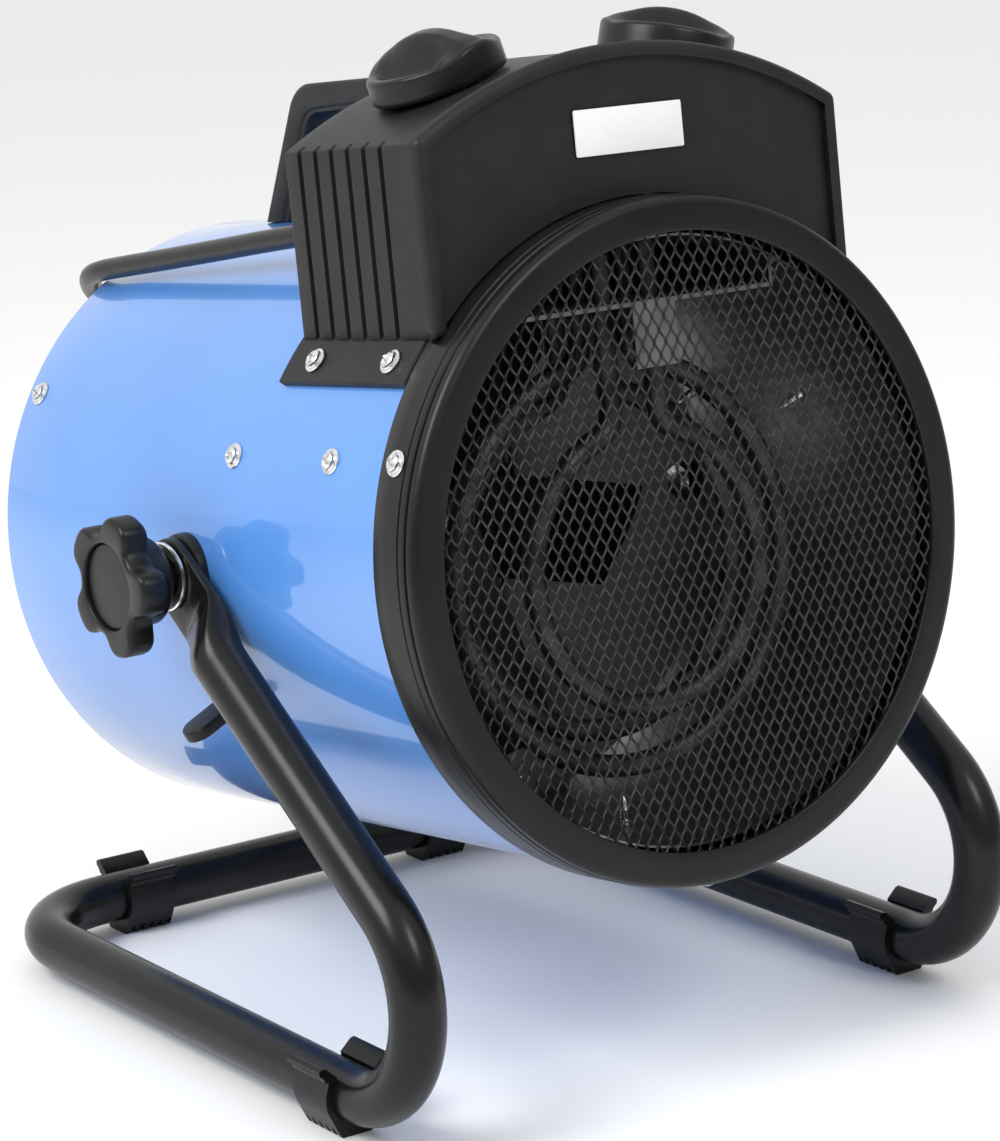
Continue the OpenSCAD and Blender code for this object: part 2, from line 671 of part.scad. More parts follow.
// one arm, its front bend, floor run and rear corner, and half of the crossbar, at radius r;
// the bends enter the straight runs, which are a hair thicker
flat_end = 44;
module half_frame(r, x) {
    floor_len = bend_cy + cross_back - rear_bend_r;
    translate([x, 0, pivot_h]) rotate([arm_drop, 0, 0]) rotate([90, 0, 0])
        translate([0, 0, flat_end]) cylinder(r = r + hair, h = arm_len - flat_end + 2 * lap, $fn = 48);
    translate([x, -bend_cy, tube_z + front_bend_r]) rotate([90, 0, 90]) rotate([0, 0, 90 + arm_drop])
        rotate_extrude(angle = 180 - arm_drop, $fn = 48) translate([front_bend_r, 0]) circle(r = r, $fn = 48);
    translate([x, -bend_cy - 2 * lap, tube_z]) rotate([-90, 0, 0])
        cylinder(r = r + hair, h = floor_len + 4 * lap, $fn = 48);
    translate([x - rear_bend_r, cross_back - rear_bend_r, tube_z])
        rotate_extrude(angle = 90, $fn = 48) translate([rear_bend_r, 0]) circle(r = r, $fn = 48);
    translate([-1, cross_back, tube_z]) rotate([0, 90, 0])
        cylinder(r = r + hair, h = x - rear_bend_r + 1 + 2 * lap, $fn = 48);
}

module flattened_end(x) translate([0, 0, pivot_h]) rotate([arm_drop, 0, 0]) {
    translate([plate_x0, 0, 0]) rotate([90, 0, 90]) linear_extrude(flat_t) {
        translate([-18.5, -plate_w / 2]) square([26.5, plate_w]);
        translate([-18.5, -plate_w / 2 + 8]) square([34.5, plate_w - 16]);
        for (s = [-1, 1]) translate([8, s * (plate_w / 2 - 8)]) circle(r = 8);
    }
    hull() {
        translate([plate_x0, -19, -plate_w / 2]) cube([flat_t, 1, plate_w]);
        translate([x, -flat_end - 0.5, 0]) rotate([90, 0, 0]) cylinder(r = tube_r, h = 0.5, $fn = 32);
    }
}

module stand_tube() color([0.05, 0.05, 0.055]) in_stand() difference() {
    for (s = [-1, 1]) scale_side(s) {
        half_frame(tube_r, arm_x);
        flattened_end(arm_x);
    }
    for (s = [-1, 1]) scale_side(s) {
        half_frame(tube_r - tube_wall, arm_x);
        translate([plate_x0 - 1, 0, pivot_h]) rotate([0, 90, 0]) cylinder(r = stud_r + run_gap, h = flat_t + 2);
    }
}

// a rubber clip, open at the top, with flared lips and a toothed sole; it lies along Y
module foot_clip() translate([0, 0, tube_z]) rotate([90, 0, 0]) translate([0, 0, -foot_len / 2]) difference() {
    skin = 2.5;
    linear_extrude(foot_len) difference() {
        union() {
            circle(r = tube_r + skin);
            translate([-8, -tube_z]) square([16, tube_z]);
            for (s = [-1, 1]) rotate(90 - s * 62) translate([tube_r + 0.5, -1.6]) square([6.5, 3.2]);
        }
        circle(r = tube_r + hair + 0.02);
        polygon([[0, 0], [-30, 21], [-30, 40], [30, 40], [30, 21]]);
    }
    for (k = [0 : 3]) translate([-9, -tube_z - 1, foot_len * (0.2 + 0.2 * k) - 1]) cube([18, 2.5, 2]);
}

side_foot_y = -bend_cy + foot_len / 2;
rear_foot_left = 67;
rear_foot_right = 74;
module foot_front_left() color([0.04, 0.04, 0.04]) in_stand() translate([-arm_x, side_foot_y, 0]) foot_clip();
module foot_front_right() color([0.04, 0.04, 0.04]) in_stand() translate([arm_x, side_foot_y, 0]) foot_clip();
module foot_rear_left() color([0.04, 0.04, 0.04]) in_stand() translate([-rear_foot_left, cross_back, 0]) rotate([0, 0, 90]) foot_clip();
module foot_rear_right() color([0.04, 0.04, 0.04]) in_stand() translate([rear_foot_right, cross_back, 0]) rotate([0, 0, 90]) foot_clip();

// ---- power lead ----

function unit(v) = v / norm(v);
function along(p, i) = unit(p[min(i + 1, len(p) - 1)] - p[max(i - 1, 0)]);
function side_of(t) = unit(cross(t, abs(t[2]) > 0.9 ? [1, 0, 0] : [0, 0, 1]));
// each ring's first direction is the last ring's, turned as little as possible
function carried(v, t) = unit(v - (v * t) * t);
function frames(p, i, v) = i >= len(p) ? [] : let (w = carried(v, along(p, i))) concat([w], frames(p, i + 1, w));
function ring_at(c, t, u, r, n) = let (w = cross(t, u)) [for (k = [0 : n - 1]) c + r * (cos(360 * k / n) * u + sin(360 * k / n) * w)];

module swept(p, r, n) {
    u = frames(p, 0, side_of(along(p, 0)));
    m = len(p);
    pts = [for (i = [0 : m - 1]) each ring_at(p[i], along(p, i), u[i], r, n)];
    ends = [[for (k = [0 : n - 1]) k], [for (k = [n - 1 : -1 : 0]) (m - 1) * n + k]];
    sides = [for (i = [0 : m - 2]) for (k = [0 : n - 1])
        let (a = i * n + k, b = i * n + (k + 1) % n) each [[a, a + n, b], [b, a + n, b + n]]];
    polyhedron(points = pts, faces = concat(ends, sides));
}

module power_cord() color([0.05, 0.05, 0.05]) swept(route, lead_r, 10);

module cord_coil() color([0.05, 0.05, 0.05]) translate([coil_x, coil_y, coil_lift])
    rotate_extrude() translate([coil_r0, 0]) square([coil_r1 - coil_r0, coil_h]);

module cord_tie() color([0.1, 0.1, 0.1]) translate([coil_x, coil_y, 0]) rotate([0, 0, 84])
    rotate_extrude(angle = 12) difference() {
        translate([coil_r0 - 1.2, 0]) square([coil_r1 - coil_r0 + 2.4, coil_h + 2.4]);
        translate([coil_r0, coil_lift]) square([coil_r1 - coil_r0, coil_h]);
    }

module cord_tail() color([0.05, 0.05, 0.05]) swept(tail, lead_r, 10);

module plug_body() color([0.06, 0.06, 0.06]) translate([plug_x, plug_y, plug_r]) rotate([0, 90, 0]) {
    cylinder(r1 = lead_r + 0.8, r2 = 9, h = plug_relief);
    translate([0, 0, plug_relief]) cylinder(r1 = 12, r2 = plug_r, h = 12);
    translate([0, 0, plug_relief + 12]) cylinder(r = plug_r, h = plug_len - 12);
}

module plug_pins() color([0.8, 0.8, 0.8]) for (s = [-1, 1])
    translate([plug_x + plug_relief + plug_len, plug_y + s * pin_gap / 2, plug_r]) rotate([0, 90, 0])
        cylinder(r = pin_r, h = pin_len);

drum_shell();
inner_duct();
duct_spacers();
front_ring();
front_mesh();
rear_guard();
element_inner();
element_middle();
element_outer();
element_bracket();
element_insulators();
element_terminals();
thermal_cutout();
motor();
motor_bracket();
control_box();
label_plate();
carry_handle();
heat_switch();
thermostat();
terminal_block();
cord_gland();
power_cord();
ring_screws();
duct_screws();
box_screws();
guard_screws();
left_boss();
right_boss();
pivot_nuts();
tilt_stops();
fan_hub();
fan_blades();
fan_shaft();
fan_nut();
heat_knob();
heat_knob_shaft();
thermostat_knob();
thermostat_knob_shaft();
left_clamp_knob();
left_clamp_cap();
left_clamp_stud();
left_washer();
right_clamp_knob();
right_clamp_cap();
right_clamp_stud();
right_washer();
stand_tube();
foot_front_left();
foot_front_right();
foot_rear_left();
foot_rear_right();
cord_coil();
cord_tail();
cord_tie();
plug_body();
plug_pins();
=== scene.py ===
"""A portable electric fan heater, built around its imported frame.

Lengths in the shape functions are in millimetres. heater() and stand() turn them into metres
in the row frame: heater() from the tilting heater's own axes, where y runs back from the ring's
face and z = 0 is the drum's axis, and stand() from the stand's, where z = 0 is the floor.
"""
import json
import math
import bmesh
import bpy
import numpy as np
from mathutils import Matrix, Vector


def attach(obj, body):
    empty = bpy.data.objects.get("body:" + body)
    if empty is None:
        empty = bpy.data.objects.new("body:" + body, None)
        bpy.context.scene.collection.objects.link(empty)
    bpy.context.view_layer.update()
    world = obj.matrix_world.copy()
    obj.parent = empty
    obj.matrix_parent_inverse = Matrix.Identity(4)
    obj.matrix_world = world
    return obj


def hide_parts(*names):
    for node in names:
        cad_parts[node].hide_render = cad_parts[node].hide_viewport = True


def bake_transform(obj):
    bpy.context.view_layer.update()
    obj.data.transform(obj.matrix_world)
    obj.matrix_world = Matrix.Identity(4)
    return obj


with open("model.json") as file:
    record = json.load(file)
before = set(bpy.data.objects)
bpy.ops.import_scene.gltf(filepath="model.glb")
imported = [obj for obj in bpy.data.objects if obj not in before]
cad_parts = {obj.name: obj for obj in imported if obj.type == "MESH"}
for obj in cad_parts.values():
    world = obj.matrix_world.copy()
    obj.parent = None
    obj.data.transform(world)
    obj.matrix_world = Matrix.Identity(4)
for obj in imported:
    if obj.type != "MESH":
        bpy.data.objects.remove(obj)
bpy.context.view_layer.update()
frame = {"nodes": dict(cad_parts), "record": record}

# ---- sizes, in mm ----
PIVOT_Y, PIVOT_H, PIVOT_BACK = 6.1312, 171.7, 144.0
REST_TILT = math.radians(6.5)
DRUM_R, DRUM_WALL, HEATER_LEN = 113.0, 1.2, 276.0
RING_R, OPEN_R, RING_DEPTH = 116.0, 103.5, 23.0
BOX_FRONT, BOX_BACK, BOX_HALF, ROOF_R = 17.0, 97.0, 86.0, 165.0
KNOB_SPAN, KNOB_R = 47.0, 23.5
TUBE_R, ARM_X, TUBE_Z = 9.5, 123.0, 14.0
BEND_R, CORNER_R, BEND_FRONT, CROSS_BACK = 38.0, 40.0, 146.6, 128.0
LEAD_R = 4.0


def heater(points):
    """Heater axes in mm to the row frame in metres: turned about the pivot by the rest tilt."""
    p = np.asarray(points, float)
    y, z = p[..., 1] - PIVOT_BACK, p[..., 2]
    c, s = math.cos(REST_TILT), math.sin(REST_TILT)
    return np.stack([p[..., 0], PIVOT_Y + y * c + z * s, PIVOT_H - y * s + z * c], -1) / 1000


def stand(points):
    """Stand axes in mm to the row frame in metres."""
    return (np.asarray(points, float) + [0, PIVOT_Y, 0]) / 1000


def row(points):
    """Row frame in mm to metres."""
    return np.asarray(points, float) / 1000


# ---- camera ----
AZ, EL, ROLL = math.radians(-35.66), math.radians(13.16), math.radians(-1.76)
CAMERA_AT = Vector((-0.7487, -1.0653, 0.4591))
back = Vector((math.sin(AZ) * math.cos(EL), -math.cos(AZ) * math.cos(EL), math.sin(EL)))
right = Vector((math.cos(AZ), math.sin(AZ), 0.0))
up = back.cross(right)
cam_right = right * math.cos(ROLL) + up * math.sin(ROLL)
cam_up = up * math.cos(ROLL) - right * math.sin(ROLL)
cam_data = bpy.data.cameras.new("camera")
cam_data.sensor_width = 36.0
cam_data.lens = 115.91
cam_data.clip_start, cam_data.clip_end = 0.05, 20.0
camera = bpy.data.objects.new("camera", cam_data)
bpy.context.scene.collection.objects.link(camera)
camera.matrix_world = Matrix((
    (cam_right.x, cam_up.x, back.x, CAMERA_AT.x),
    (cam_right.y, cam_up.y, back.y, CAMERA_AT.y),
    (cam_right.z, cam_up.z, back.z, CAMERA_AT.z),
    (0, 0, 0, 1)))
bpy.context.scene.camera = camera


# ---- finishes ----

class Wire:
    """A socket of numbers. Arithmetic on it adds a Math node, with a plain number on either side."""

    def __init__(self, finish, socket):
        self.finish, self.socket = finish, socket

    def math(self, operation, *values):
        return self.finish.node("ShaderNodeMath", {"operation": operation}, dict(enumerate(values)))

    def __add__(self, other):
        return self.math("ADD", self, other)

    def __sub__(self, other):
        return self.math("SUBTRACT", self, other)

    def __rsub__(self, other):
        return self.math("SUBTRACT", other, self)

    def __mul__(self, other):
        return self.math("MULTIPLY", self, other)

    def __truediv__(self, other):
        return self.math("DIVIDE", self, other)

    def __pow__(self, other):
        return self.math("POWER", self, other)

    __radd__, __rmul__ = __add__, __mul__

    def clamp(self, low, high):
        """0 up to low, 1 from high, and a smooth rise between them."""
        return self.finish.node("ShaderNodeMapRange", {"interpolation_type": "SMOOTHSTEP"},
                                {0: self, 1: low, 2: high, 3: 0.0, 4: 1.0})


class Finish:
    """A Principled material whose varying parts read Object coordinates, in metres."""

    def __init__(self, name, colour, roughness, metallic=0.0, coat=0.0, coat_roughness=0.05,
                 specular=0.5):
        self.material = bpy.data.materials.new(name)
        self.material.use_nodes = True
        self.tree = self.material.node_tree
        self.shader = self.tree.nodes["Principled BSDF"]
        self.colour, self.rough = colour, roughness
        for socket, value in (("Base Color", (*colour, 1)), ("Roughness", roughness),
                              ("Metallic", metallic), ("Coat Weight", coat),
                              ("Coat Roughness", coat_roughness), ("Specular IOR Level", specular)):
            self.shader.inputs[socket].default_value = value
        self.material.diffuse_color = (*colour, 1)
        self.height = None
        self.place = self.node("ShaderNodeTexCoord", {}, {}, "Object")

    def node(self, kind, settings, sockets, out=0):
        """One node of that kind: its settings first, then each socket's value or link."""
        made = self.tree.nodes.new(kind)
        for key, value in settings.items():
            setattr(made, key, value)
        for key, value in sockets.items():
            if isinstance(value, Wire):
                self.tree.links.new(value.socket, made.inputs[key])
            else:
                made.inputs[key].default_value = value
        return Wire(self, made.outputs[out])

    def noise(self, size, detail=2.0, rough=0.5, stretch=(1, 1, 1)):
        """Noise with features about size metres across, stretched along the axes."""
        where = self.place
        if stretch != (1, 1, 1):
            where = self.node("ShaderNodeMapping", {}, {"Vector": where, "Scale": stretch})
        return self.node("ShaderNodeTexNoise", {}, {
            "Vector": where, "Scale": 1 / size, "Detail": detail, "Roughness": rough})

    def cells(self, size, feature="F1"):
        """Distance to the nearest point, or cell edge, of a scatter about size metres apart."""
        return self.node("ShaderNodeTexVoronoi", {"feature": feature}, {
            "Vector": self.place, "Scale": 1 / size}, "Distance")

    def mix(self, low, high, amount):
        """The colour low where amount is 0 and high where it is 1."""
        ends = {"Factor": amount, 6: low if isinstance(low, Wire) else (*low, 1),
                7: high if isinstance(high, Wire) else (*high, 1)}
        return self.node("ShaderNodeMix", {"data_type": "RGBA"}, ends, 2)

    def link(self, socket, wire):
        self.tree.links.new(wire.socket, self.shader.inputs[socket])
        return self

    def shades(self, dark, light, size, detail=3.0, low=0.3, high=0.7, stretch=(1, 1, 1)):
        """Base colour that drifts between two shades of itself."""
        dark_c = tuple(c * dark for c in self.colour)
        light_c = tuple(min(c * light, 1) for c in self.colour)
        amount = self.noise(size, detail, stretch=stretch).clamp(low, high)
        return self.link("Base Color", self.mix(dark_c, light_c, amount))

    def gloss(self, spread, size, detail=3.0, stretch=(1, 1, 1)):
        """Roughness that wanders by spread either side of its own value."""
        wander = (self.noise(size, detail, stretch=stretch) - 0.5) * (2 * spread)
        return self.link("Roughness", wander + self.rough)

    def relief(self, height, depth, strength=1.0):
        """Bump from a 0 to 1 height that stands for depth metres."""
        bump = {"Height": height, "Distance": depth, "Strength": strength}
        if self.height:
            bump["Normal"] = self.height
        self.height = self.node("ShaderNodeBump", {}, bump)
        return self.link("Normal", self.height)


def leather_grain(finish, size=0.0007, depth=0.00004):
    """The pebbled grain of a textured mould: rounded cells, broken up by finer noise."""
    pebbles = finish.cells(size).clamp(0.05, 0.75)
    fine = finish.noise(size * 0.45, 3.0)
    return finish.relief(pebbles * 0.7 + fine * 0.5, depth)


FINISH = {}


def finish(name, *values, **more):
    made = Finish(name, *values, **more)
    FINISH[name] = made
    return made


paint = finish("drum_paint", (0.075, 0.25, 0.66), 0.32, coat=1.0, coat_roughness=0.03)
paint.shades(0.96, 1.04, 0.06).relief(paint.noise(0.0035, 1.0), 0.000012)
paint.gloss(0.03, 0.03)
# the drum's inside is near-black: painted shade, which stands in for the dark interior behind the grille
lining_painted_shade = finish("drum_lining", (0.016, 0.017, 0.02), 0.55)
lining_painted_shade.shades(0.8, 1.3, 0.02).relief(lining_painted_shade.noise(0.002), 0.00003)
coat = finish("black_coat", (0.006, 0.006, 0.0062), 0.27, specular=0.28)
coat.shades(0.8, 1.3, 0.02).gloss(0.05, 0.012).relief(coat.noise(0.0016, 3.0), 0.00003)
ring_coat = finish("ring_coat", (0.0065, 0.0065, 0.0067), 0.34, specular=0.26)
ring_coat.shades(0.85, 1.2, 0.03).gloss(0.04, 0.02).relief(ring_coat.noise(0.0009, 2.0), 0.00002)
mesh_coat = finish("mesh_coat", (0.035, 0.035, 0.036), 0.32, metallic=0.6)
mesh_coat.shades(0.7, 1.4, 0.004).gloss(0.08, 0.003)
liner = finish("galvanised", (0.34, 0.345, 0.35), 0.34, metallic=1.0)
spangle = liner.cells(0.011)
liner.link("Base Color", liner.mix((0.26, 0.265, 0.27), (0.40, 0.405, 0.41), spangle.clamp(0.1, 0.9)))
liner.gloss(0.07, 0.008).relief(liner.noise(0.02, 2.0), 0.0003)
sheath = finish("element_sheath", (0.05, 0.048, 0.047), 0.42, metallic=0.75)
sheath.shades(0.5, 1.8, 0.012, 4.0).gloss(0.1, 0.006).relief(sheath.noise(0.0012, 3.0), 0.00004)
porcelain = finish("porcelain", (0.82, 0.79, 0.72), 0.18, coat=0.6)
porcelain.shades(0.9, 1.05, 0.006).relief(porcelain.noise(0.001), 0.00002)
zinc = finish("zinc", (0.80, 0.80, 0.79), 0.22, metallic=1.0)
zinc.shades(0.82, 1.08, 0.0025, 4.0).gloss(0.09, 0.0018).relief(zinc.noise(0.0006, 3.0), 0.00002)
motor_can = finish("motor_can", (0.12, 0.125, 0.13), 0.4, metallic=0.5)
motor_can.shades(0.8, 1.15, 0.01).relief(motor_can.noise(0.0012), 0.00003)
# the fan's near-black colour is partly painted shade: it was darkened so the inside of the drum reads dark
fan_metal = finish("fan_metal", (0.025, 0.025, 0.026), 0.4, metallic=0.4)
fan_metal.shades(0.85, 1.05, 0.006, 3.0, stretch=(1, 8, 1)).gloss(0.08, 0.004)
fan_metal.relief(fan_metal.noise(0.0008, 2.0, stretch=(1, 6, 1)), 0.00002)
box_skin = finish("black_plastic", (0.0105, 0.0105, 0.0108), 0.48, specular=0.3)
box_skin.shades(0.85, 1.2, 0.015).gloss(0.05, 0.006)
leather_grain(box_skin)
knob_skin = finish("knob_plastic", (0.006, 0.006, 0.0062), 0.34, specular=0.3)
knob_skin.shades(0.85, 1.25, 0.01).gloss(0.05, 0.005)
leather_grain(knob_skin, 0.0005, 0.00002)
label = finish("label_white", (0.86, 0.86, 0.86), 0.38)
label.shades(0.985, 1.0, 0.002, 4.0).relief(label.noise(0.0008), 0.00001)
thermoset = finish("switch_plastic", (0.74, 0.71, 0.64), 0.45)
thermoset.shades(0.93, 1.04, 0.004).relief(thermoset.noise(0.0009), 0.00003)
can_metal = finish("thermostat_metal", (0.6, 0.59, 0.56), 0.3, metallic=1.0)
can_metal.shades(0.85, 1.08, 0.004).gloss(0.07, 0.003).relief(can_metal.noise(0.0007), 0.00002)
foot_rubber = finish("foot_rubber", (0.005, 0.005, 0.005), 0.33, specular=0.25)
foot_rubber.shades(0.7, 1.5, 0.004).gloss(0.08, 0.004).relief(foot_rubber.noise(0.0012, 3.0), 0.00006)
lead_rubber = finish("lead_rubber", (0.007, 0.007, 0.0072), 0.30, specular=0.3)
lead_rubber.shades(0.75, 1.3, 0.008).gloss(0.06, 0.005)
lead_rubber.relief(lead_rubber.noise(0.0014, 3.0), 0.00005)
pin_metal = finish("pin_metal", (0.78, 0.76, 0.7), 0.2, metallic=1.0)
pin_metal.shades(0.85, 1.05, 0.003).gloss(0.06, 0.002).relief(pin_metal.noise(0.0006), 0.00001)

for item in frame["record"]["subparts"]:
    piece_object = frame["nodes"][item["node"]]
    piece_object.data.materials.clear()
    piece_object.data.materials.append(FINISH[item["material_slot"]].material)


# ---- surfaces ----

def grid(m, n, wrap_m=False, wrap_n=False):
    """Quads between the rows of an m by n grid of points; a wrapped side meets itself."""
    i = np.arange(m if wrap_m else m - 1)[:, None]
    j = np.arange(n if wrap_n else n - 1)[None, :]
    i1, j1 = (i + 1) % m, (j + 1) % n
    return np.stack([i * n + j, i1 * n + j, i1 * n + j1, i * n + j1], -1).reshape(-1, 4)


class Shape:
    """The points and faces of one piece, gathered from several surfaces."""

    def __init__(self):
        self.points, self.faces, self.count = [], [], 0

    def add(self, points, faces):
        points = np.asarray(points, float).reshape(-1, 3)
        self.points.append(points)
        self.faces += [[int(k) + self.count for k in face] for face in faces]
        self.count += len(points)
        return self

    def rings(self, rings, ends=True, closed=False):
        """A skin over rings of points, each a closed loop; ends are covered, or closed joins them."""
        rings = np.asarray(rings, float)
        m, n = rings.shape[:2]
        faces = grid(m, n, closed, True).tolist()
        if ends and not closed:
            faces += [list(range(n))[::-1], [(m - 1) * n + k for k in range(n)]]
        return self.add(rings, faces)

    def sheet(self, points):
        """An open skin over an m by n grid of points."""
        return self.add(points, grid(*np.asarray(points).shape[:2]))


def make(name, shape, look, body, hides=(), place=heater, sharp=35, solid=0.0):
    """Puts a shape into a mesh at the origin, with its doubles merged and its faces outwards."""
    mesh = bpy.data.meshes.new(name)
    mesh.from_pydata(place(np.concatenate(shape.points)).tolist(), [], shape.faces)
    work = bmesh.new()
    work.from_mesh(mesh)
    bmesh.ops.remove_doubles(work, verts=work.verts, dist=1e-6)
    bmesh.ops.dissolve_degenerate(work, edges=work.edges, dist=1e-7)
    bmesh.ops.recalc_face_normals(work, faces=work.faces)
    if solid:
        middle = sum((f.calc_center_median() for f in work.faces), Vector()) / len(work.faces)
        if sum(f.normal.dot(f.calc_center_median() - middle) * f.calc_area() for f in work.faces) < 0:
            bmesh.ops.reverse_faces(work, faces=work.faces)
    work.to_mesh(mesh)
    work.free()
    mesh.polygons.foreach_set("use_smooth", np.ones(len(mesh.polygons), bool))
    mesh.set_sharp_from_angle(angle=math.radians(sharp))
    mesh.materials.append(FINISH[look].material)
    made = bpy.data.objects.new(name, mesh)
    bpy.context.scene.collection.objects.link(made)
    if solid:
        wall = made.modifiers.new("wall", "SOLIDIFY")
        wall.thickness, wall.offset = solid / 1000, -1
    if body:
        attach(made, body)
    if hides:
        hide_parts(*hides)
    return made


def turn(n):
    return np.arange(n) * (2 * math.pi / n)


def lathe(profile, n=96, across="y", at=(0, 0, 0)):
    """Rings of a turned part: each (distance along the axis, radius) becomes a circle of n points."""
    profile = np.asarray(profile, float)
    t = turn(n)
    d = np.broadcast_to(profile[:, :1], (len(profile), n))
    a, b = profile[:, 1:] * np.sin(t), profile[:, 1:] * np.cos(t)
    order = {"x": (d, a, b), "y": (a, d, b), "z": (a, b, d)}[across]
    return np.stack(order, -1) + np.asarray(at, float)


def step(low, high, x):
    """0 below low, 1 above high, with a smooth rise between."""
    t = np.clip((np.asarray(x, float) - low) / (high - low), 0, 1)
    return t * t * (3 - 2 * t)


def unit(v):
    return v / np.linalg.norm(v, axis=-1, keepdims=True)


def resample(points, gap):
    """The same line with points about gap apart, along a Catmull-Rom spline through them."""
    p = np.asarray(points, float)
    p = np.concatenate([[2 * p[0] - p[1]], p, [2 * p[-1] - p[-2]]])
    t = np.linspace(0, 1, 24, endpoint=False)[:, None, None]
    a, b, c, d = p[:-3], p[1:-2], p[2:-1], p[3:]
    fine = 0.5 * (2 * b + (c - a) * t + (2 * a - 5 * b + 4 * c - d) * t**2
                  + (3 * b - a - 3 * c + d) * t**3)
    fine = np.concatenate([fine.transpose(1, 0, 2).reshape(-1, 3), p[-2:-1]])
    run = np.concatenate([[0], np.cumsum(np.linalg.norm(np.diff(fine, axis=0), axis=1))])
    at = np.linspace(0, run[-1], int(run[-1] / gap) + 1)
    return np.stack([np.interp(at, run, fine[:, k]) for k in range(3)], 1)


def tube(path, radius, n=16, first=(0, 0, 1)):
    """Rings along a path: each circle's first direction is the last one's, turned as little as
    possible."""
    path = np.asarray(path, float)
    ahead = unit(np.gradient(path, axis=0))
    radius = np.broadcast_to(radius, len(path))
    u = np.asarray(first, float)
    rings, t = [], turn(n)[:, None]
    for centre, along, r in zip(path, ahead, radius):
        u = unit(u - (u @ along) * along)
        rings.append(centre + r * (np.cos(t) * u + np.sin(t) * np.cross(along, u)))
    return np.array(rings)


def slab(outline, levels, lift):
    """Rings of a plate with rounded edges. outline(inset) gives the loop in (a, b), each level is
    (height, inset), and lift turns (a, b, height) into space."""
    return np.stack([lift(*outline(inset).T, h) for h, inset in levels])


def rounded_levels(h0, h1, r, n=4):
    """Heights and insets of a plate's edge, rounded by r on both faces."""
    t = np.linspace(0, math.pi / 2, n)
    low = [(h0 + r * (1 - math.sin(k)), r * (1 - math.cos(k))) for k in t[::-1]]
    high = [(h1 - r * (1 - math.sin(k)), r * (1 - math.cos(k))) for k in t]
    return low + high


# ---- power lead ----

route = np.array([
    [-62, 28, 279.5], [-62, 63, 272.7], [-62, 98, 266], [-62, 125, 261], [-62, 145, 257],
    [-59.5, 158, 253], [-52, 170, 246.5], [-40, 178, 237], [-28, 181, 226.5], [-15, 181.5, 213],
    [-3, 181.5, 198], [7, 181, 180], [16, 180, 159], [24, 179, 137], [32, 177, 114],
    [39, 175, 92], [47, 172, 71], [57, 168, 50], [70, 164, 31], [84, 161, 17],
    [98, 159.5, 9], [112, 159.5, 5.2]], float)
COIL_X, COIL_Y = 122.0, 212.0
gland_exit = heater([-62.0, BOX_BACK + 30.0, DRUM_R - 1.5]) * 1000
turns = np.radians(np.arange(-92.0, 985.0, 8.0))
angle = np.degrees(turns)
# outer turn, inner turn, then a third that climbs on top of them and leaves outside
coil_r = (52.5 - 8.5 * step(-100, -40, angle) - 8 * step(220, 300, angle)
          + 4 * step(565, 640, angle) + 7.5 * step(885, 945, angle))
coil_z = 5.2 + 8.4 * step(565, 612, angle) - 1.5 * step(620, 690, angle)
coil = np.stack([COIL_X + coil_r * np.cos(turns), COIL_Y + coil_r * np.sin(turns), coil_z], 1)
tail = np.array([[132, 165.6, 13], [142, 167.5, 14], [150, 168, 15.6], [158, 168, 17.4],
                 [166, 168, 18.3], [174, 168, 18.5]], float)
lead_path = resample(np.concatenate([[gland_exit], route, coil, tail]), 3.0)
lead = make("power_lead", Shape().rings(tube(lead_path, LEAD_R)), "lead_rubber", None,
            ("power_cord", "cord_coil", "cord_tail"), place=row, sharp=60)
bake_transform(lead)

# the plug: a neck with ribs, a grip that swells to a round face
plug_profile = [(174, 0.5), (174, 4.6), (175, 5.0)]
for k in range(5):
    y = 177 + 4 * k
    plug_profile += [(y, 5.2 + k * 0.5), (y + 1.6, 6.6 + k * 0.5), (y + 2.8, 6.6 + k * 0.5), (y + 3.4, 5.4 + k * 0.5)]
plug_profile += [(198, 11.0), (203, 14.0), (209, 17.2), (214, 18.3), (228, 18.3), (232.6, 18.1),
                 (233.7, 17.2), (234, 16.0), (234, 0.5)]
plug = make("plug_grip", Shape().rings(lathe(plug_profile, 48, "x", (0, 168, 18.5))),
            "lead_rubber", "stand", ("plug_body",), place=row, sharp=50)
# a strap that wraps the coil's turns once, as a flat band with rounded corners
tie_t = np.linspace(0, 1, 49)[:-1] * 2 * math.pi
band = np.sign(np.cos(tie_t)) * np.abs(np.cos(tie_t)) ** 0.5, np.sign(np.sin(tie_t)) * np.abs(np.sin(tie_t)) ** 0.5
tie_rings = []
for over, wide in ((1.2, -3.2), (2.0, -3.6), (2.9, -3.2), (2.9, 3.2), (2.0, 3.6), (1.2, 3.2)):
    tie_rings.append(np.stack([np.full(48, COIL_X + wide), COIL_Y + 40 + (7.4 + over) * band[0],
                               9.6 + (7.0 + over) * band[1] * np.where(band[1] > 0, 1.0, 0.94)], -1))
tie = make("lead_tie", Shape().rings(tie_rings, closed=True), "foot_rubber", "stand", ("cord_tie",),
           place=row, sharp=50)

# ---- drum, ring and liner ----

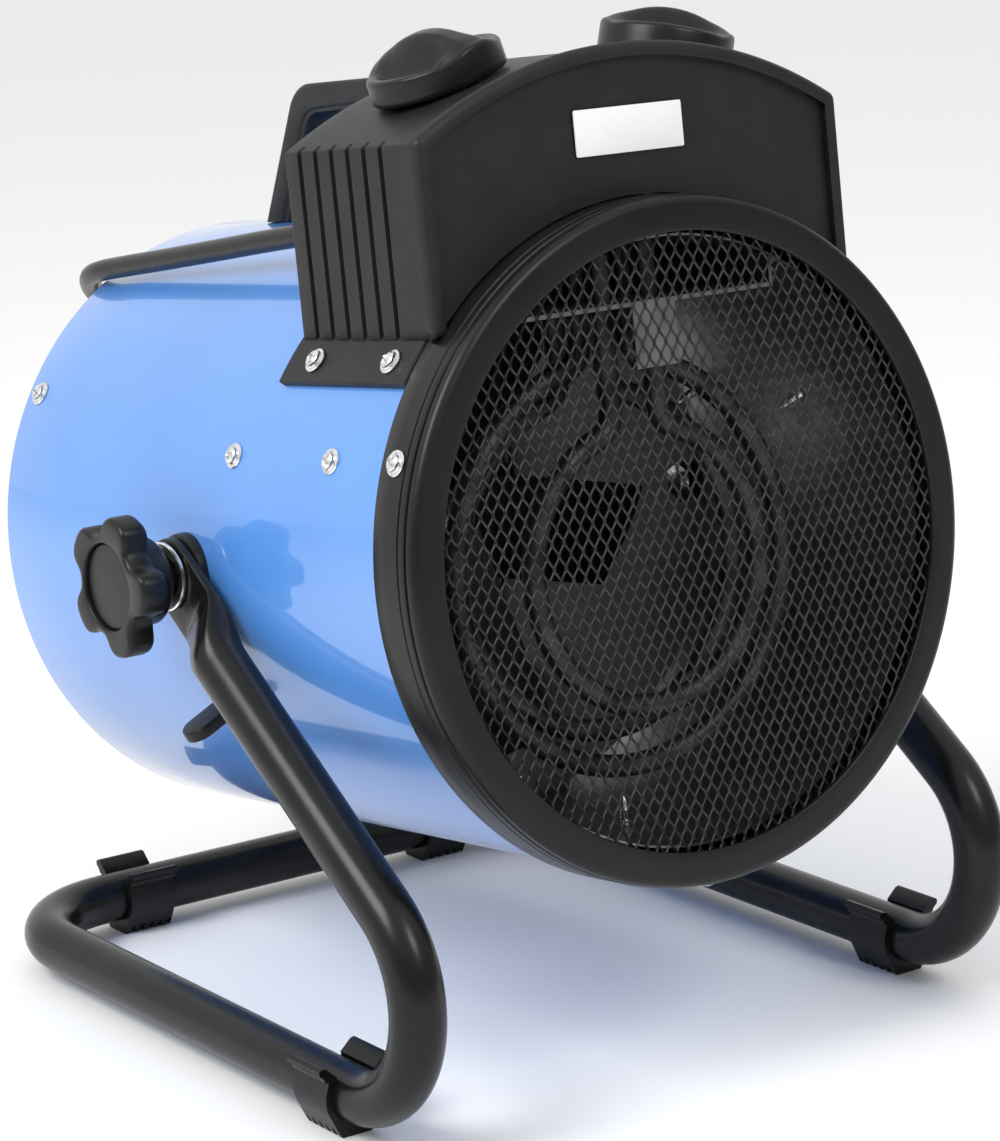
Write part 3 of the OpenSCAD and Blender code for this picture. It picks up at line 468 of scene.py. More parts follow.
inside = DRUM_R - DRUM_WALL
drum_profile = ([(3, inside), (3.2, DRUM_R - 0.3), (3.6, DRUM_R), (60, DRUM_R), (120, DRUM_R),
                 (180, DRUM_R), (240, DRUM_R)]
                + [(HEATER_LEN - 1.5 + 1.5 * math.sin(t), DRUM_R - 1.5 + 1.5 * math.cos(t))
                   for t in np.linspace(0, math.pi, 9)]
                + [(HEATER_LEN - 1.5, inside - 1.4), (HEATER_LEN - 3.2, inside - 1.2),
                   (HEATER_LEN - 3.6, inside), (180, inside), (90, inside)])
drum = make("drum_skin", Shape().rings(lathe(drum_profile, 288), closed=True), "drum_paint", "heater",
            ("drum_shell",))
# the inward faces take the near-black lining: painted shade inside the drum
drum.data.materials.append(FINISH["drum_lining"].material)
for face in drum.data.polygons:
    local = np.array(face.center) - heater([0, PIVOT_BACK, 0])
    if local @ np.array(face.normal) < -0.02 and math.hypot(local[0], local[2]) < 0.2:
        face.material_index = 1

ring_profile = [(2.3, 105.3), (2.6, 104.6), (1.9, 103.6), (0.8, 103.5)]
ring_profile += [(0.8 - 0.8 * math.sin(t), 104.3 - 0.8 * math.cos(t))
                 for t in np.linspace(0.3, math.pi / 2, 5)]
ring_profile += [(0, 108), (0, 112.2)]
ring_profile += [(3.2 - 3.2 * math.cos(t), 112.2 + 3.4 * math.sin(t))
                 for t in np.linspace(0.15, math.pi / 2, 8)]
ring_profile += [(4.2, 115.6), (4.5, 115.0), (5.2, 115.0), (5.5, 115.8), (6.6, 116.0), (8.2, 115.9),
                 (8.5, 115.45), (9.0, 115.45), (9.3, 115.95), (15, 116), (22.2, 116), (22.8, 115.7),
                 (23, 115.0), (23, 113.15), (3.4, 113.15), (3.0, 112.4), (2.3, 112.0)]
make("ring_trim", Shape().rings(lathe(ring_profile, 256), closed=True), "ring_coat", "heater",
     ("front_ring",), sharp=50)

duct_r = inside - 9
liner_profile = [(8, duct_r), (8.4, duct_r + 0.2), (125, duct_r), (125, duct_r - 0.8), (90, duct_r - 0.8),
                 (50, duct_r - 0.8), (9, duct_r - 0.8), (8, duct_r - 0.7)]
make("duct_liner", Shape().rings(lathe(liner_profile, 192), closed=True), "galvanised", "heater",
     ("inner_duct",))


# ---- expanded mesh ----

def strands(starts, ends, wide, thick, lean):
    """Flat bars from starts to ends, each a box whose width is leant about the upright by lean."""
    ahead = unit(ends - starts)
    tilted = np.broadcast_to([math.cos(lean), math.sin(lean), 0.0], ahead.shape)
    w = unit(tilted - (tilted * ahead).sum(-1, keepdims=True) * ahead) * wide / 2
    t = unit(np.cross(ahead, w)) * thick / 2
    corners = np.stack([-w - t, w - t, w + t, -w + t], 1)
    return np.concatenate([starts[:, None] + corners, ends[:, None] + corners], 1)


def bars(shape, boxes):
    sides = [[0, 1, 5, 4], [1, 2, 6, 5], [2, 3, 7, 6], [3, 0, 4, 7], [3, 2, 1, 0], [4, 5, 6, 7]]
    k = np.arange(len(boxes))[:, None, None] * 8
    shape.add(boxes, (np.array(sides)[None] + k).reshape(-1, 4).tolist())


CELL_X, CELL_Z, KNUCKLE, MESH_Y, MESH_R = 4.9, 8.5, 1.5, 2.9, 107.0
ii, jj = np.meshgrid(np.arange(-46, 47), np.arange(-27, 28), indexing="ij")
ii, jj = ii[(ii + jj) % 2 == 0], jj[(ii + jj) % 2 == 0]
node = np.stack([ii * CELL_X / 2, np.full(ii.shape, MESH_Y), jj * CELL_Z / 2], -1)
weave = Shape()
held = np.hypot(node[:, 0], node[:, 2]) < MESH_R
tall = np.array([0, 0, KNUCKLE / 2])
bars(weave, strands((node - tall)[held], (node + tall)[held], 1.25, 0.75, 0.5))
for side in (-1, 1):
    far = node + [side * CELL_X / 2, 0, CELL_Z / 2]
    both = held & (np.hypot(far[:, 0], far[:, 2]) < MESH_R)
    reach = tall * 0.7
    bars(weave, strands((node + reach)[both], (far - reach)[both], 0.78, 0.6, 0.62))
weave.rings(lathe([(2.4, 105.5), (2.4, 111), (3.3, 111), (3.3, 105.5)], 160), closed=True)
make("mesh_grille", weave, "mesh_coat", "heater", ("front_mesh",), sharp=30)


# ---- elements ----

def element_path(r, y, drop=9.0, leg=10.0, turn_r=9.0, top=127.0):
    """Centreline of a ring element: down one leg, a small bend, round the ring, and up again."""
    gap = math.asin((leg + turn_r) / (r + turn_r))
    turn_z = (r + turn_r) * math.cos(gap) - drop
    down = [(leg, top), (leg, (top + turn_z) / 2), (leg, turn_z + 3)]
    small = [(leg + turn_r - turn_r * math.cos(a), turn_z - turn_r * math.sin(a))
             for a in np.linspace(0, math.pi / 2 - gap, 5)]
    big = [(r * math.sin(a), r * math.cos(a) - drop)
           for a in np.linspace(gap, 2 * math.pi - gap, 49)[1:-1]]
    half = down + small
    line = half + big + [(-x, z) for x, z in half[::-1]]
    return np.array([(x, y, z) for x, z in line])


for node_name, r, y in (("element_inner", 48, 30), ("element_outer", 70, 44), ("element_middle", 59, 58)):
    rod = tube(resample(element_path(r, y), 3.0), 4.0, 20, (0, 1, 0))
    make(node_name + "_rod", Shape().rings(rod), "element_sheath", "heater", (node_name,), sharp=60)

# ---- control box ----


def box_outline(inset, n_roof=72, n_side=14, corner=1.3):
    """The box's edge seen from the front: up the left side, over the roof's arc and down the
    right side, all moved inwards by inset."""
    half, roof = BOX_HALF - inset, ROOF_R - inset
    a1 = math.asin((half - corner) / (roof - corner))
    low = 77.0
    cz = (roof - corner) * math.cos(a1)
    side_z = np.linspace(low, cz, n_side)
    left = np.stack([np.full(n_side, -half), side_z], 1)
    bend = np.linspace(math.pi, math.pi / 2 + a1, 5)[1:]
    knee = np.stack([-half + corner + corner * np.cos(bend), cz + corner * np.sin(bend)], 1)
    arc = np.linspace(-a1, a1, n_roof)[1:-1]
    over = np.stack([roof * np.sin(arc), roof * np.cos(arc)], 1)
    mirror = np.concatenate([left, knee])[::-1] * [-1, 1]
    return np.concatenate([left, knee, over, mirror])


def box_low_edge(radius, n):
    """The arc on which the box sits, from its left corner to its right one."""
    a = math.asin(BOX_HALF / radius)
    t = np.linspace(-a, a, n)
    return np.stack([radius * np.sin(t), radius * np.cos(t)], 1)


GROOVES = BOX_BACK - 9.5 - 9.65 * np.arange(6)
edge = 1.2
rows = [(BOX_FRONT + edge * (1 - math.sin(t)), edge * (1 - math.cos(t)), 0.0)
        for t in np.linspace(0, math.pi / 2, 4)]
rows += [(BOX_FRONT + 2.8, 0, 0.0), (BOX_FRONT + 3.0, 0, 0.6),
         (BOX_FRONT + 3.3, 0, 0.6), (BOX_FRONT + 3.5, 0, 0.0)]
for g in GROOVES[::-1]:
    rows += [(g - 1.25, 0, 0.0), (g - 0.8, 0, 1.9), (g + 0.8, 0, 1.9), (g + 1.25, 0, 0.0)]
rows += [(BOX_BACK - edge * (1 - math.sin(t)), edge * (1 - math.cos(t)), 0.0)
         for t in np.linspace(0, math.pi / 2, 4)]
outline = box_outline(0)
is_side = np.abs(outline[:, 0]) > BOX_HALF - 1.0
# each side's foot is cut to the drum, or to the ring where that is wider
skin = []
for y, inset, groove in rows:
    loop = box_outline(inset)
    loop[is_side, 0] -= np.sign(loop[is_side, 0]) * groove
    floor_r = RING_R + 0.4 if y < RING_DEPTH else DRUM_R + 0.05
    lowest = np.sqrt(floor_r**2 - np.minimum(np.abs(loop[:, 0]), floor_r - 1)**2)
    loop[:, 1] = np.maximum(loop[:, 1], lowest)
    skin.append(np.stack([loop[:, 0], np.full(len(loop), y), loop[:, 1]], -1))
n_edge = len(outline)
front_low, back_low = box_low_edge(RING_R + 0.5, n_edge), box_low_edge(DRUM_R + 0.05, n_edge)
front = [np.stack([front_low[:, 0], np.full(n_edge, BOX_FRONT), front_low[:, 1]], -1)]
rear = [np.stack([back_low[:, 0], np.full(n_edge, BOX_BACK), back_low[:, 1]], -1)]
lower = np.stack([front_low[:, 0], np.full(n_edge, BOX_FRONT + 3.0), front_low[:, 1]], -1)
box_shape = Shape().sheet(np.stack([lower, *front, *skin, *rear]))
make("box_cover", box_shape, "black_plastic", "heater", (), solid=2.4, sharp=32)

# the flanges that hold the box to the drum
flanges = Shape()
for s in (-1, 1):
    a_in, a_out = math.radians(46.5), math.radians(55.9)
    sheet_rows = []
    for r, grow in ((DRUM_R + 0.05, 0), (DRUM_R + 2.4, 0), (DRUM_R + 3.0, 0.5)):
        loop = []
        y0, y1 = 24.0, 99.4
        for u in np.linspace(0, 1, 13):
            loop.append((a_in + (a_out - a_in) * u, y0 + grow, 0))
        for v in np.linspace(0, 1, 5)[1:]:
            loop.append((a_out - math.radians(grow * 0.5), y0 + (y1 - y0) * v - grow * v, 0))
        for u in np.linspace(1, 0, 13)[1:]:
            loop.append((a_in + (a_out - a_in) * u, y1 - grow - 1.2 * (1 - u), 0))
        for v in np.linspace(1, 0, 5)[1:-1]:
            loop.append((a_in, y0 + (y1 - y0) * v, 0))
        loop = np.array(loop)
        sheet_rows.append(np.stack([s * r * np.sin(loop[:, 0]), loop[:, 1], r * np.cos(loop[:, 0])], -1))
    flanges.rings(sheet_rows)
make("box_flanges", flanges, "black_plastic", "heater", ("control_box",), sharp=30)

# a plain plate on the box's front, with slightly rounded corners


def rounded_rectangle(x0, x1, z0, z1, r, inset, n=5):
    """A rectangle's loop, its corners rounded by r and its edge moved inwards by inset."""
    loop = []
    for cx, cz, a0 in ((x1 - r, z1 - r, 0), (x0 + r, z1 - r, 90), (x0 + r, z0 + r, 180), (x1 - r, z0 + r, 270)):
        a = np.radians(np.linspace(a0, a0 + 90, n))
        rr = max(r - inset, 0.02)
        loop.append(np.stack([cx + rr * np.cos(a), cz + rr * np.sin(a)], 1))
    return np.concatenate(loop)


plate = slab(lambda i: rounded_rectangle(-24, 21, 130.6, 146, 0.7, i), rounded_levels(0.02, 0.6, 0.15, 3),
             lambda a, b, h: np.stack([a, np.full(a.shape, BOX_FRONT - h), b], -1))
make("label_blank", Shape().rings(plate), "label_white", "heater", ("label_plate",))


# ---- carry handle ----

def arc(centre, r, a0, a1, n):
    a = np.radians(np.linspace(a0, a1, n))
    return np.stack([centre[0] + r * np.cos(a), centre[1] + r * np.sin(a)], 1)


top_z, y1 = DRUM_R + 50.0, BOX_BACK + 136.0
outer = np.concatenate([[[BOX_BACK, 112.8], [BOX_BACK, 140], [BOX_BACK, top_z - 1.0], [BOX_BACK + 1.0, top_z]],
                        arc((y1 - 38, top_z - 14.5), 14.5, 90, 30, 10), [[y1 - 2, 115], [y1 - 0.8, 112.8]]])
inner = np.concatenate([[[BOX_BACK + 11, 112.8], [BOX_BACK + 11, 135]],
                        arc((BOX_BACK + 18, top_z - 18), 7, 180, 90, 6),
                        [[150, top_z - 11]],
                        arc((y1 - 44, top_z - 22.5), 11.5, 90, 22, 8), [[y1 - 17.4, 115], [y1 - 16, 112.8]]])


def even(line, n):
    run = np.concatenate([[0], np.cumsum(np.linalg.norm(np.diff(line, axis=0), axis=1))])
    at = np.linspace(0, run[-1], n)
    return np.stack([np.interp(at, run, line[:, k]) for k in range(2)], 1)


def spread_to(line, marks, counts):
    """The line's points, with counts even points between each pair of marks."""
    out = []
    for a, b, n in zip(marks[:-1], marks[1:], counts):
        out.append(even(line[a:b + 1], n)[:-1])
    return np.concatenate(out + [line[-1:]])


outer_line = spread_to(outer, (0, 2, 3, 4, 13, 15), (6, 3, 18, 14, 14))
inner_line = spread_to(inner, (0, 1, 7, 8, 16, 17), (6, 3, 18, 14, 14))
half_w, rim = 12.0, 1.6
around = ([(half_w - rim * (1 - math.sin(t)), 1 - 0.14 * (1 - math.cos(t))) for t in np.linspace(0, math.pi / 2, 4)]
          + [(half_w, 0.30), (half_w - 0.5, 0.24), (half_w - 0.9, 0.2), (half_w - 0.9, 0.06), (half_w - 1.8, 0.0)])
around += [(-x, v) for x, v in around[::-1]]
grip_rings = []
for a, b in zip(inner_line, outer_line):
    p = np.array([(x, *(a + (b - a) * v)) for x, v in around])
    grip_rings.append(p)
make("handle_grip", Shape().rings(grip_rings), "black_plastic", "heater", ("carry_handle",), sharp=38)

# ---- dials ----


def dial(spin, side):
    """A round dial: a raised fin across it, a smooth scoop each side, and a raised outer rim.
    Height over the disc is the scoop's floor, plus the fin where b is small, plus the rim where
    the radius is large."""
    n, t = 120, turn(120)
    rho = np.linspace(0.4, KNOB_R - 1.6, 26)[:, None]
    a, b = rho * np.cos(t), rho * np.sin(t)
    fin = 1 - step(2.2, 13.5, np.abs(b))
    rim = step(13.0, 21.0, rho) * (1 - 0.75 * fin)
    height = 5.8 + (12.8 - 0.0155 * a**2 - 0.015 * b**2) * fin + 3.4 * rim
    top = np.stack([a, b, height], -1)
    edge_h = height[-1]
    fall = []
    for k in np.linspace(0, math.pi / 2, 6)[1:]:
        r = KNOB_R - 1.6 + 1.6 * math.sin(k)
        fall.append(np.stack([r * np.cos(t), r * np.sin(t), edge_h - 1.9 * (1 - math.cos(k))], -1))
    wall = [np.stack([KNOB_R * np.cos(t), KNOB_R * np.sin(t), (edge_h - 1.9) * f], -1) for f in (0.6, 0.25)]
    wall += [np.stack([r * np.cos(t), r * np.sin(t), np.full(n, h)], -1)
             for r, h in ((KNOB_R, 0.5), (KNOB_R - 0.5, 0.0), (3.0, 0.0))]
    rings = np.concatenate([top, fall, wall])
    c, s = math.cos(math.radians(spin)), math.sin(math.radians(spin))
    x, y, z = rings[..., 0] * c - rings[..., 1] * s, rings[..., 0] * s + rings[..., 1] * c, rings[..., 2]
    lean = math.asin(KNOB_SPAN / ROOF_R) * side
    z = z + ROOF_R + 0.7
    return np.stack([x * math.cos(lean) + z * math.sin(lean), y + (BOX_FRONT + BOX_BACK) / 2,
                     z * math.cos(lean) - x * math.sin(lean)], -1)


for name, spin, side, body in (("heat_knob", 98, -1, "heat_dial"), ("thermostat_knob", -36, 1, "thermostat_dial")):
    make(name + "_dial", Shape().rings(dial(spin, side)), "knob_plastic", body, (name,),
         sharp=45)

# ---- screws ----


def screw_rings(n=40):
    """A pan head with a wide washer face: a dome with a cross sunk into it."""
    t = turn(n)
    rho = np.linspace(0.15, 2.95, 12)[:, None]
    a, b = np.abs(rho * np.cos(t + 0.5)), np.abs(rho * np.sin(t + 0.5))
    cross = np.maximum((1 - step(0.28, 0.62, b)) * (1 - step(1.5, 2.1, a)),
                       (1 - step(0.28, 0.62, a)) * (1 - step(1.5, 2.1, b)))
    dome = 2.9 - 0.10 * rho**2 + 0 * t
    head = np.stack([rho * np.cos(t), rho * np.sin(t), dome - 1.2 * cross], -1)
    rest = [(3.1, 1.75), (3.12, 1.2), (3.35, 0.95), (4.3, 0.75), (4.5, 0.5), (4.5, 0.15), (4.35, 0.0),
            (1.9, 0.0), (1.9, -3.0), (1.1, -4.2), (0.1, -4.6)]
    return np.concatenate([head, lathe([(h, r) for r, h in rest], n, "z")])


SCREW = screw_rings()


def screws(name, places, radius, hides, sunk=0.0):
    """The same screw at each (degrees from the top, y), standing out of a circle of that radius."""
    group = Shape()
    for k, (a, y) in enumerate(places):
        a, spin = math.radians(a), 0.7 * k
        x0 = SCREW[..., 0] * math.cos(spin) - SCREW[..., 1] * math.sin(spin)
        y0 = SCREW[..., 0] * math.sin(spin) + SCREW[..., 1] * math.cos(spin)
        z0 = SCREW[..., 2] + radius - sunk
        group.rings(np.stack([x0 * math.cos(a) + z0 * math.sin(a), y0 + y, z0 * math.cos(a) - x0 * math.sin(a)], -1))
    make(name, group, "zinc", "heater", hides, sharp=32)


side_a = math.degrees(math.asin(BOX_HALF / RING_R)) + 4
screws("ring_screw_set", [(-69, 14), (69, 14), (180, 14)], RING_R, ("ring_screws",))
screws("duct_screw_set", [(a, y) for y in (56.5, 117) for a in (-69, 69, 180)], DRUM_R, ("duct_screws",))
screws("box_screw_set", [(s * side_a, y) for s in (-1, 1) for y in (37, 82)], DRUM_R + 3, ("box_screws",))
screws("guard_screw_set", [(a, 266) for a in (-59, 59, 180)], DRUM_R, ("guard_screws",))

# screw tips that come through the liner
tips = Shape()
for a, y in [(a, y) for y in (56.5, 117) for a in (-69, 69, 180)]:
    points = [(duct_r + 2, 1.9)]
    for k in range(7):
        points += [(duct_r - 1.0 - 1.3 * k, 1.35), (duct_r - 1.55 - 1.3 * k, 1.95 - 0.12 * k)]
    points += [(duct_r - 11.5, 0.1)]
    r = math.radians(a)
    p = lathe(points, 14, "z")
    tips.rings(np.stack([p[..., 0] * math.cos(r) + p[..., 2] * math.sin(r), p[..., 1] + y,
                         p[..., 2] * math.cos(r) - p[..., 0] * math.sin(r)], -1))
make("screw_tips", tips, "zinc", "heater", (), sharp=25)

# ---- pivot ----
star_x0, star_x1, hub_x = 123.1, 145.8, 135.3


def star_radius(t, inset=0.0):
    """Five broad lobes: a cosine of five times the angle, flattened at its crests."""
    wave = np.tanh(1.7 * (np.cos(5 * t) + 0.22))
    return 21.5 + 3.6 * wave - inset


def star_rings(side):
    """A hub that spreads into the lobed head, with rounded edges and a round recess in its face."""
    n, t = 160, turn(160)
    turned = math.radians(41)
    rings = [(star_x0, 4.2, 0), (star_x0, 8.2, 0), (star_x0 + 0.8, 8.8, 0), (star_x0 + 2.4, 10.5, 0),
             (star_x0 + 5, 14.4, 0), (star_x0 + 6.5, 15.4, 0), (hub_x - 1.2, 15.5, 0), (hub_x, 15.9, 0)]
    loops = [(x, np.full(n, r)) for x, r, _ in rings]
    for x, inset in ((hub_x, 2.6), (hub_x + 0.3, 1.2), (hub_x + 1.2, 0.3), (hub_x + 2.4, 0.0),
                     (star_x1 - 2.0, 0.0), (star_x1 - 1.1, 0.25), (star_x1 - 0.4, 0.8), (star_x1 - 0.08, 1.5),
                     (star_x1, 2.2)):
        loops.append((x, star_radius(t, inset)))
    for x, r in ((star_x1, 15.9), (star_x1 - 0.15, 15.5), (star_x1 - 0.5, 15.3), (star_x1 - 1.6, 15.2),
                 (star_x1 - 3.2, 15.1)):
        loops.append((x, np.full(n, r)))
    a = t + turned
    return np.stack([np.stack([np.full(n, side * x), PIVOT_BACK + r * np.cos(a), r * np.sin(a)], -1) for x, r in loops])


for side, word in ((-1, "left"), (1, "right")):
    body = word + "_clamp"
    make(word + "_star", Shape().rings(star_rings(side)), "knob_plastic", body,
         (word + "_clamp_knob",), sharp=40)
    cap = [(star_x1 - 3.1, 0.3), (star_x1 - 3.1, 14.9), (star_x1 - 1.9, 14.9),
           (star_x1 - 1.65, 14.6), (star_x1 - 1.6, 14.2), (star_x1 - 1.6, 0.3)]
    make(word + "_star_cap", Shape().rings(lathe([(side * x, r) for x, r in cap], 96, "x", (0, PIVOT_BACK, 0))),
         "knob_plastic", body, (word + "_clamp_cap",), sharp=35)
    # spring washer: a flat ring bent twice round, so two sides lift
    t = turn(96)
    wave = 0.75 * np.cos(2 * t)
    washer = [np.stack([side * (122.1 + wave * k + dx), PIVOT_BACK + r * np.sin(t), r * np.cos(t)], -1)
              for r, dx, k in ((4.3, -0.5, 0.4), (4.3, 0.5, 0.4), (11.6, 0.8, 0.6), (12.1, 0.4, 0.6), (12.1, -0.3, 0.6), (11.6, -0.6, 0.6))]
    make(word + "_spring_washer", Shape().rings(washer, closed=True), "zinc", body, (word + "_washer",), sharp=30)
    boss = [(112.0, 4.2), (112.0, 14.0), (114.2, 14.0), (115.9, 13.7), (116.4, 13.0), (116.5, 12.0), (116.5, 4.2)]
    make(word + "_spacer", Shape().rings(lathe([(side * x, r) for x, r in boss], 72, "x", (0, PIVOT_BACK, 0)), closed=True),
         "knob_plastic", "heater", (word + "_boss",), sharp=35)


def tab_outline(inset, n=17):
    """A tab seen flat: straight sides and a round end, from the drum outwards."""
    r = 6.5 - inset
    a = np.linspace(-math.pi / 2, math.pi / 2, n)
    end = np.stack([DRUM_R + 14 + r * np.cos(a), r * np.sin(a)], 1)
    return np.concatenate([[[DRUM_R - 0.6, r]], [[DRUM_R - 0.6, -r]], end])


stops = Shape()
for side in (-1, 1):
    fall = math.radians(25.5)

    def lift(a, b, h, side=side, fall=fall):
        x, z = a * math.cos(fall) + h * math.sin(fall), -a * math.sin(fall) + h * math.cos(fall)
        return np.stack([side * x, PIVOT_BACK + b, z], -1)

    stops.rings(slab(tab_outline, rounded_levels(-2.2, 2.2, 0.8), lift))
make("stop_tabs", stops, "knob_plastic", "heater", ("tilt_stops",), sharp=40)

# ---- strain relief ----
relief = [(BOX_BACK - 3, 3.9), (BOX_BACK - 3, 5.4), (BOX_BACK + 0.4, 5.4),
          (BOX_BACK + 0.4, 7.4), (BOX_BACK + 2.6, 7.4), (BOX_BACK + 3.0, 6.9)]
for k in range(7):
    y, r = BOX_BACK + 4 + 3.4 * k, 6.6 - 0.24 * k
    relief += [(y, r), (y + 0.4, r - 0.7), (y + 1.3, r - 0.8), (y + 1.7, r - 0.1), (y + 3.0, r - 0.2)]
relief += [(BOX_BACK + 29.4, 4.75), (BOX_BACK + 30, 4.3), (BOX_BACK + 30, 3.9)]
relief_rings = lathe(relief, 40, "y", (-62, 0, DRUM_R - 1.5))
gap = np.hypot(relief_rings[..., 0], relief_rings[..., 2])
push = np.maximum(1.0, (DRUM_R + 0.2) / gap)[..., None]
relief_rings = np.where(relief_rings[..., 1:2] > BOX_BACK - 2, relief_rings * np.concatenate([push, np.ones_like(push), push], -1), relief_rings)
make("strain_relief", Shape().rings(relief_rings, closed=True), "lead_rubber", "heater", ("cord_gland",),
     sharp=35)

# ---- stand ----
bend_y, bend_z = BEND_FRONT - BEND_R, PIVOT_H - TUBE_Z - BEND_R
reach = math.hypot(bend_y, bend_z)
arm_drop = math.atan2(bend_z, bend_y) - math.asin(BEND_R / reach)
arm_len = math.sqrt(reach**2 - BEND_R**2)
ahead = np.array([0, -math.cos(arm_drop), -math.sin(arm_drop)])
across = np.array([0, -math.sin(arm_drop), math.cos(arm_drop)])
top = np.array([0, 0, PIVOT_H])
n_round = 48
phi = turn(n_round)
half_tube = []
# the flattened end: from a half-round tip through the plate to the full tube
for s in np.concatenate([-13 + 13 * (1 - np.cos(np.linspace(0.12, math.pi / 2, 9))), np.linspace(2, 18, 6),
                         18 + 27 * np.linspace(0, 1, 22)[1:], [arm_len * 0.6, arm_len * 0.85]]):
    full = float(step(19, 44, s))
    crease = float(step(17, 24, s)) * (1 - float(step(24, 46, s)))
    wide = 13.0 + (TUBE_R - 13.0) * full
    if s < 0:
        wide = 13.0 * math.sqrt(max(1 - (s / 13.0) ** 2, 0.0001))
    thick = 2.0 + (TUBE_R - 2.0) * full**0.85
    power = 2 / (7.0 - 5.0 * full)
    centre_x = 118.8 + (ARM_X - 118.8) * full
    cs, sn = np.cos(phi), np.sin(phi)
    ex = thick * np.sign(cs) * np.abs(cs) ** power
    # the crease: a ridge down the middle of the outer face as it narrows
    ex = ex + crease * 1.6 * np.exp(-(sn / 0.25) ** 2) * (cs > 0)
    ew = wide * np.sign(sn) * np.abs(sn) ** power
    half_tube.append(top + s * ahead + np.stack([centre_x + ex, 0 * ex, 0 * ex], -1) + ew[:, None] * across)
circle = np.stack([np.cos(phi), np.sin(phi)], -1)


def ring_at(centre, axis_a, axis_b):
    return centre + TUBE_R * (circle[:, :1] * axis_a + circle[:, 1:] * axis_b)


x_axis = np.array([1.0, 0, 0])
for a in np.linspace(90 + math.degrees(arm_drop), 270, 34):
    a = math.radians(a)
    out = np.array([0, math.cos(a), math.sin(a)])
    centre = np.array([ARM_X, -bend_y, TUBE_Z + BEND_R]) + BEND_R * out
    half_tube.append(ring_at(centre, x_axis, out))
half_tube.append(ring_at(np.array([ARM_X, -20.0, TUBE_Z]), x_axis, np.array([0, 0, -1.0])))
for a in np.radians(np.linspace(0, 90, 18)):
    out = np.array([math.cos(a), math.sin(a), 0])
    centre = np.array([ARM_X - CORNER_R, CROSS_BACK - CORNER_R, TUBE_Z]) + CORNER_R * out
    half_tube.append(ring_at(centre, out, np.array([0, 0, -1.0])))
half_tube = np.array(half_tube)
other = half_tube[::-1] * [-1, 1, 1]
frame_rings = np.concatenate([half_tube, other])
stand_piece = make("stand_frame", Shape().rings(frame_rings), "black_coat", "stand", ("stand_tube",), place=stand, sharp=42)


# ---- feet ----

def clip_outline(sole):
    """A clip's cross-section: a C round the tube, two flared lips with a ridge, and a sole."""
    r_in, r_out = TUBE_R + 0.08, 12.0
    a_open = math.radians(38)
    inside_arc = np.linspace(math.pi - a_open, 2 * math.pi + a_open, 33)
    inner_pts = r_in * np.stack([np.cos(inside_arc), np.sin(inside_arc)], 1)
    lip = []
    for r, w in ((r_in + 1.0, -1.6), (16.2, -1.9), (17.6, -1.2), (18.0, 0.2), (17.0, 1.2), (14.6, 1.3), (13.6, 2.0), (12.4, 1.4)):
        a = a_open + 0.02
        lip.append(np.array([math.cos(a), math.sin(a)]) * r + np.array([math.sin(a), -math.cos(a)]) * (w + 0.2))
    lip = np.array(lip)
    down = np.linspace(0.18, -0.60, 7)
    outer_r = r_out * np.stack([np.cos(down), np.sin(down)], 1)
    foot = np.array([[9.2, -8.2], [8.0, -10.6], [6.6, -TUBE_Z + 0.9 + sole], [5.8, -TUBE_Z + sole], [2.0, -TUBE_Z + sole],
                     [-2.0, -TUBE_Z + sole], [-5.8, -TUBE_Z + sole], [-6.6, -TUBE_Z + 0.9 + sole], [-8.0, -10.6], [-9.2, -8.2]])
    half = np.concatenate([lip, outer_r])
    return np.concatenate([inner_pts, half, foot, half[::-1] * [-1, 1]])


def clip_rings(length=20.0, teeth=5):
    """The clip's loop carried along the tube, its sole lifted between the teeth."""
    rings = []
    pitch = length / teeth
    for k in range(teeth):
        for f, sole in ((0.02, 0.0), (0.5, 0.0), (0.6, 1.5), (0.9, 1.5)):
            rings.append((-length / 2 + pitch * (k + f), sole))
    rings.append((length / 2, 0.0))
    return np.stack([np.stack([loop[:, 0], np.full(len(loop), y), loop[:, 1] + TUBE_Z], -1)
                     for y, loop in ((y, clip_outline(s)) for y, s in rings)])


CLIP = clip_rings()
TURNED = np.stack([CLIP[..., 1], CLIP[..., 0], CLIP[..., 2]], -1)
for name, rings, at in (("foot_front_left", CLIP, (-ARM_X, -bend_y + 10, 0)), ("foot_front_right", CLIP, (ARM_X, -bend_y + 10, 0)),
                        ("foot_rear_left", TURNED, (-67, CROSS_BACK, 0)), ("foot_rear_right", TURNED, (74, CROSS_BACK, 0))):
    make(name + "_clip", Shape().rings(rings + np.asarray(at, float)), "foot_rubber", "stand", (name,), place=stand, sharp=30)

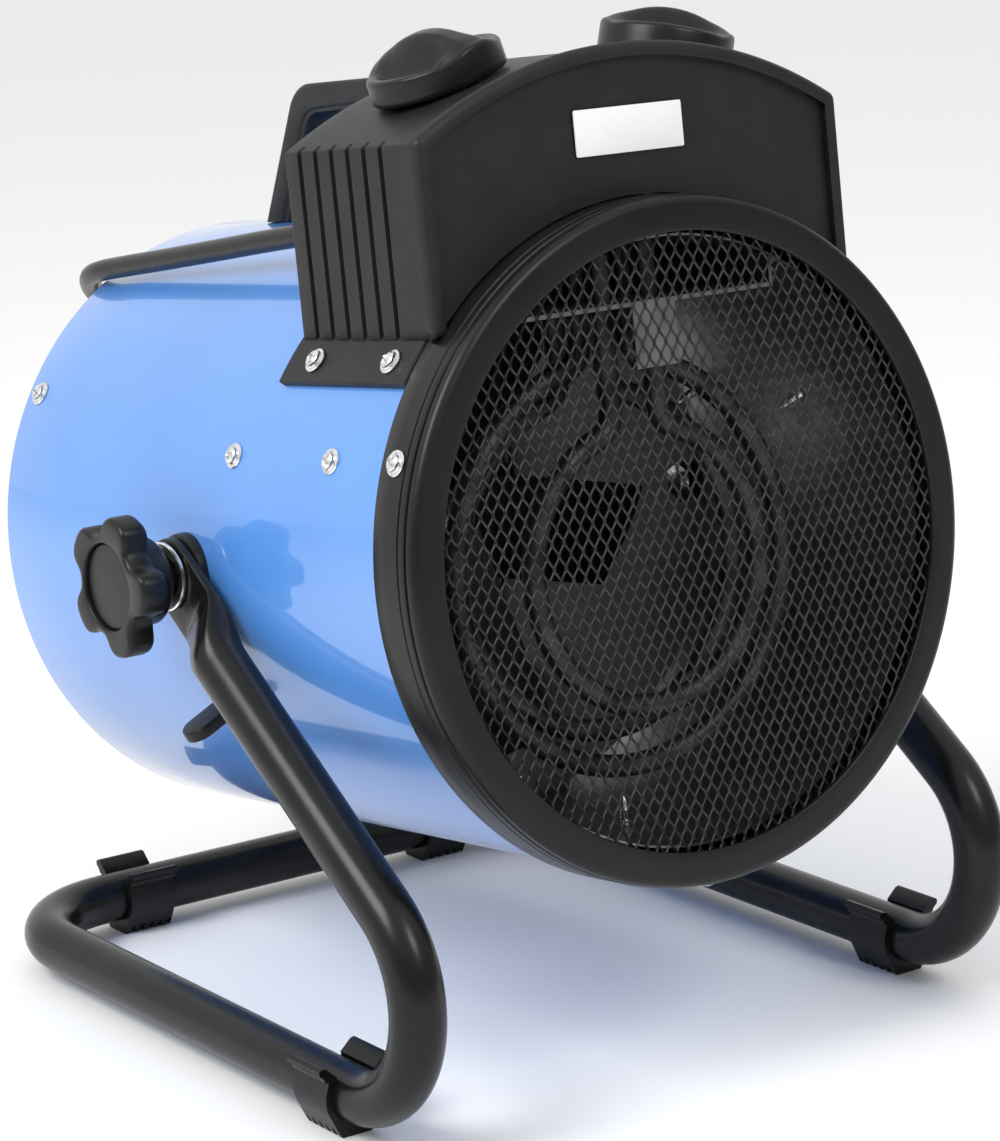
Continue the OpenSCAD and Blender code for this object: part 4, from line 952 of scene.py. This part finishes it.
# ---- floor and light ----
floor_mesh = bpy.data.meshes.new("floor")
floor_mesh.from_pydata([(-6, -6, 0), (6, -6, 0), (6, 6, 0), (-6, 6, 0)], [], [(0, 1, 2, 3)])
floor_look = bpy.data.materials.new("floor")
floor_look.use_nodes = True
floor_look.node_tree.nodes["Principled BSDF"].inputs["Base Color"].default_value = (0.93, 0.93, 0.93, 1)
floor_look.node_tree.nodes["Principled BSDF"].inputs["Roughness"].default_value = 0.9
floor_mesh.materials.append(floor_look)
floor = bpy.data.objects.new("floor", floor_mesh)
bpy.context.scene.collection.objects.link(floor)

world = bpy.data.worlds.new("world")
bpy.context.scene.world = world
world.use_nodes = True
sky = world.node_tree
sky_at = sky.nodes.new("ShaderNodeTexCoord")
sky_parts = sky.nodes.new("ShaderNodeSeparateXYZ")
sky.links.new(sky_at.outputs["Generated"], sky_parts.inputs[0])


def sky_step(axis, low, high, a, b):
    """Brightness a below low and b above high, by one part of the direction."""
    ramp = sky.nodes.new("ShaderNodeMapRange")
    ramp.interpolation_type = "SMOOTHSTEP"
    sky.links.new(sky_parts.outputs[axis], ramp.inputs[0])
    for k, value in enumerate((low, high, a, b)):
        ramp.inputs[k + 1].default_value = value
    return ramp.outputs[0]


# brighter behind the object and overhead than in front of it
brightest = sky.nodes.new("ShaderNodeMath")
brightest.operation = "MAXIMUM"
sky.links.new(sky_step(1, -0.35, 0.45, 0.34, 0.97), brightest.inputs[0])
sky.links.new(sky_step(2, 0.15, 0.85, 0.34, 0.95), brightest.inputs[1])
sky.links.new(brightest.outputs[0], sky.nodes["Background"].inputs[1])
sky.nodes["Background"].inputs[0].default_value = (1, 1, 1, 1)
bpy.context.scene.view_settings.view_transform = "Standard"


def soft_light(name, at, aim, size, power):
    """A square lamp of that size in metres, turned towards aim."""
    lamp = bpy.data.lights.new(name, "AREA")
    lamp.size, lamp.energy = size, power
    made = bpy.data.objects.new(name, lamp)
    made.location = at
    made.rotation_euler = (Vector(at) - Vector(aim)).to_track_quat("Z", "Y").to_euler()
    bpy.context.scene.collection.objects.link(made)


soft_light("key", (-1.5, -0.1, 1.5), (0, 0, 0.2), 0.9, 26)
soft_light("front", (0.3, -2.0, 1.9), (0, 0, 0.2), 0.8, 16)
